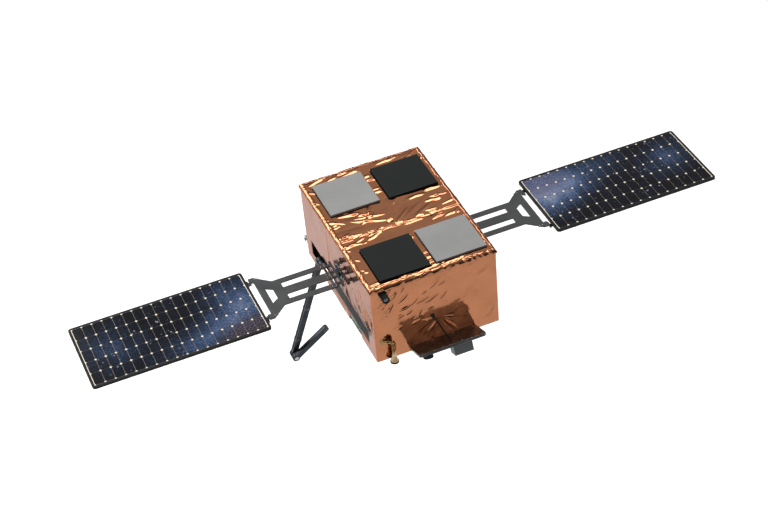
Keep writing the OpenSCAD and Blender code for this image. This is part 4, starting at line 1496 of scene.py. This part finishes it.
class SATELLITE_OT_stage(bpy.types.Operator):
    """Set the pale floor, the soft studio light and the camera"""
    bl_idname = "satellite.stage"
    bl_label = "Studio"

    def execute(self, context):
        scene = context.scene
        stage = scene.satellite_stage
        self.floor(scene, stage)
        # Soft boxes: place, size (m), radiance
        for name, place, size, radiance in (
                ("overhead", (0.6, 1.75, 4.8), (3.6, 1.5), 6.9),
                ("key", (-2.8, -1.2, 4.4), (2.2, 2.2), 2.2),
                ("fill", (3.4, -1.2, 3.3), (2.2, 1.8), 1.4),
                ("rim", (-2.3, 3.25, 2.4), (2.5, 2.3), 5.6)):
            self.light(scene, name, place, size,
                       stage.lamps * radiance * math.pi * size[0] * size[1])
        self.sky(scene, stage.sky)
        self.camera(scene)
        scene.view_settings.view_transform = "Standard"
        scene.view_settings.look = "None"
        return {"FINISHED"}

    @staticmethod
    def floor(scene, stage):
        """A round floor of frosted acrylic, lit from below: near-white, with a
        slow drift of shade."""
        material, tree, shader, place = surface("Acrylic, frosted and lit", {
            "Roughness": 0.9, "Emission Color": [1, 1, 1, 1],
            "Emission Strength": stage.glow})
        drift = add(tree, "TexNoise", sockets={
            "Vector": place, "Scale": per_mm(900), "Detail": 2})
        feed(shader, {"Base Color": add(tree, "ValToRGB", {"stops": [
            (0.3, rgba(linear("#f4f4f3"))), (0.7, rgba(linear("#f8f8f7")))]},
            {"Fac": drift})})
        mesh = bpy.data.meshes.new("floor")
        radius, corners = 9, 96
        mesh.from_pydata([
            (radius * math.cos(a), radius * math.sin(a), 0) for a in
            np.linspace(0, 2 * math.pi, corners, endpoint=False)], [],
            [list(range(corners))])
        mesh.materials.append(material)
        made = bpy.data.objects.new("floor", mesh)
        made.location = (0, 0, -stage.drop)
        scene.collection.objects.link(made)

    @staticmethod
    def light(scene, name, place, size, power):
        """One soft box that looks at the middle of the body."""
        data = bpy.data.lights.new(name, "AREA")
        data.shape = "RECTANGLE"
        data.size, data.size_y = size
        data.energy = power
        made = bpy.data.objects.new(name, data)
        made.location = place
        aim = Vector((0, 0, 0.25)) - Vector(place)
        made.rotation_euler = aim.to_track_quat("-Z", "Y").to_euler()
        made.visible_camera = False
        scene.collection.objects.link(made)

    @staticmethod
    def sky(scene, strength):
        """Studio walls: white to the eye, and graded for light and gloss."""
        world = bpy.data.worlds.new("studio")
        scene.world = world
        world.use_nodes = True
        tree = world.node_tree
        direction = add(tree, "TexCoord", out="Generated")
        # By height from straight down to straight up, then from front to rear
        by_height = [(0.0, 0.95), (0.49, 0.9), (0.51, 0.12), (0.64, 0.3),
                     (0.8, 0.66), (1.0, 0.9)]
        by_depth = [(0.0, 0.25), (0.35, 0.4), (0.55, 1.0)]
        grades = [add(tree, "ValToRGB", {"stops": stops}, {
            "Fac": add(tree, "MapRange", sockets={
                "Value": add(tree, "SeparateXYZ", sockets={
                    "Vector": direction}, out=axis),
                "From Min": -1.0, "From Max": 1.0})})
            for axis, stops in (("Z", by_height), ("Y", by_depth))]
        below = add(tree, "Math", {"operation": "LESS_THAN"}, {
            0: add(tree, "SeparateXYZ", sockets={"Vector": direction},
                   out="Z"), 1: 0.0})
        depth = add(tree, "Math", {"operation": "MAXIMUM"},
                    {0: grades[1], 1: below})
        walls = add(tree, "Math", {"operation": "MULTIPLY"},
                    {0: grades[0], 1: depth})
        lit = tree.nodes["Background"]
        feed(lit, {"Color": walls, "Strength": strength})
        white = add(tree, "Background", sockets={"Color": [1, 1, 1, 1],
                                                 "Strength": 1.0})
        feed(tree.nodes["World Output"], {0: add(tree, "MixShader", sockets={
            "Fac": add(tree, "LightPath", out="Is Camera Ray"),
            1: lit.outputs[0], 2: white})})

    @staticmethod
    def camera(scene):
        """A long lens from the front left and above."""
        data = bpy.data.cameras.new("camera")
        data.lens, data.sensor_width, data.shift_x = 86.24, 36, 0.0573
        data.clip_start, data.clip_end = 0.1, 60
        made = bpy.data.objects.new("camera", data)
        place = (-1.8769, -5.1987, 4.9025)
        ahead = Vector((0.22976, 0.72942, -0.64433)).normalized()
        right = Vector((0.92368, -0.37201, -0.09177))
        right = (right - ahead * right.dot(ahead)).normalized()
        up = right.cross(ahead)
        made.matrix_world = Matrix((*(
            (right[k], up[k], -ahead[k], place[k]) for k in range(3)),
            (0, 0, 0, 1)))
        scene.collection.objects.link(made)
        scene.camera = made


STEPS = (SATELLITE_OT_frame, SATELLITE_OT_side_blankets,
         SATELLITE_OT_hems, SATELLITE_OT_top_blankets, SATELLITE_OT_cells,
         SATELLITE_OT_wing_backs, SATELLITE_OT_wing_fittings,
         SATELLITE_OT_arm_fittings, SATELLITE_OT_stowage,
         SATELLITE_OT_thrusters, SATELLITE_OT_instruments, SATELLITE_OT_stage)
SETTINGS = {"satellite_blanket": BlanketSettings,
            "satellite_wing": WingSettings,
            "satellite_fittings": FittingSettings,
            "satellite_stage": StageSettings}


class SATELLITE_PT_looks(bpy.types.Panel):
    """Settings and steps of the satellite's looks"""
    bl_idname = "SATELLITE_PT_looks"
    bl_label = "Satellite"
    bl_space_type = "VIEW_3D"
    bl_region_type = "UI"
    bl_category = "Satellite"

    def draw(self, context):
        for name in SETTINGS:
            group = getattr(context.scene, name)
            box = self.layout.box()
            for key in group.bl_rna.properties.keys():
                if key not in ("rna_type", "name"):
                    box.prop(group, key)
        for step in STEPS:
            self.layout.operator(step.bl_idname)


def register():
    """Add the settings, the operators and the panel."""
    for group in SETTINGS.values():
        bpy.utils.register_class(group)
    for name, group in SETTINGS.items():
        setattr(bpy.types.Scene, name, PointerProperty(type=group))
    for step in STEPS:
        bpy.utils.register_class(step)
    bpy.utils.register_class(SATELLITE_PT_looks)


def unregister():
    """Take them away again."""
    bpy.utils.unregister_class(SATELLITE_PT_looks)
    for step in reversed(STEPS):
        bpy.utils.unregister_class(step)
    for name, group in SETTINGS.items():
        delattr(bpy.types.Scene, name)
        bpy.utils.unregister_class(group)


def main():
    """Build the looks step by step."""
    register()
    for step in STEPS:
        family, name = step.bl_idname.split(".")
        getattr(getattr(bpy.ops, family), name)()


if __name__ == "__main__":
    main()
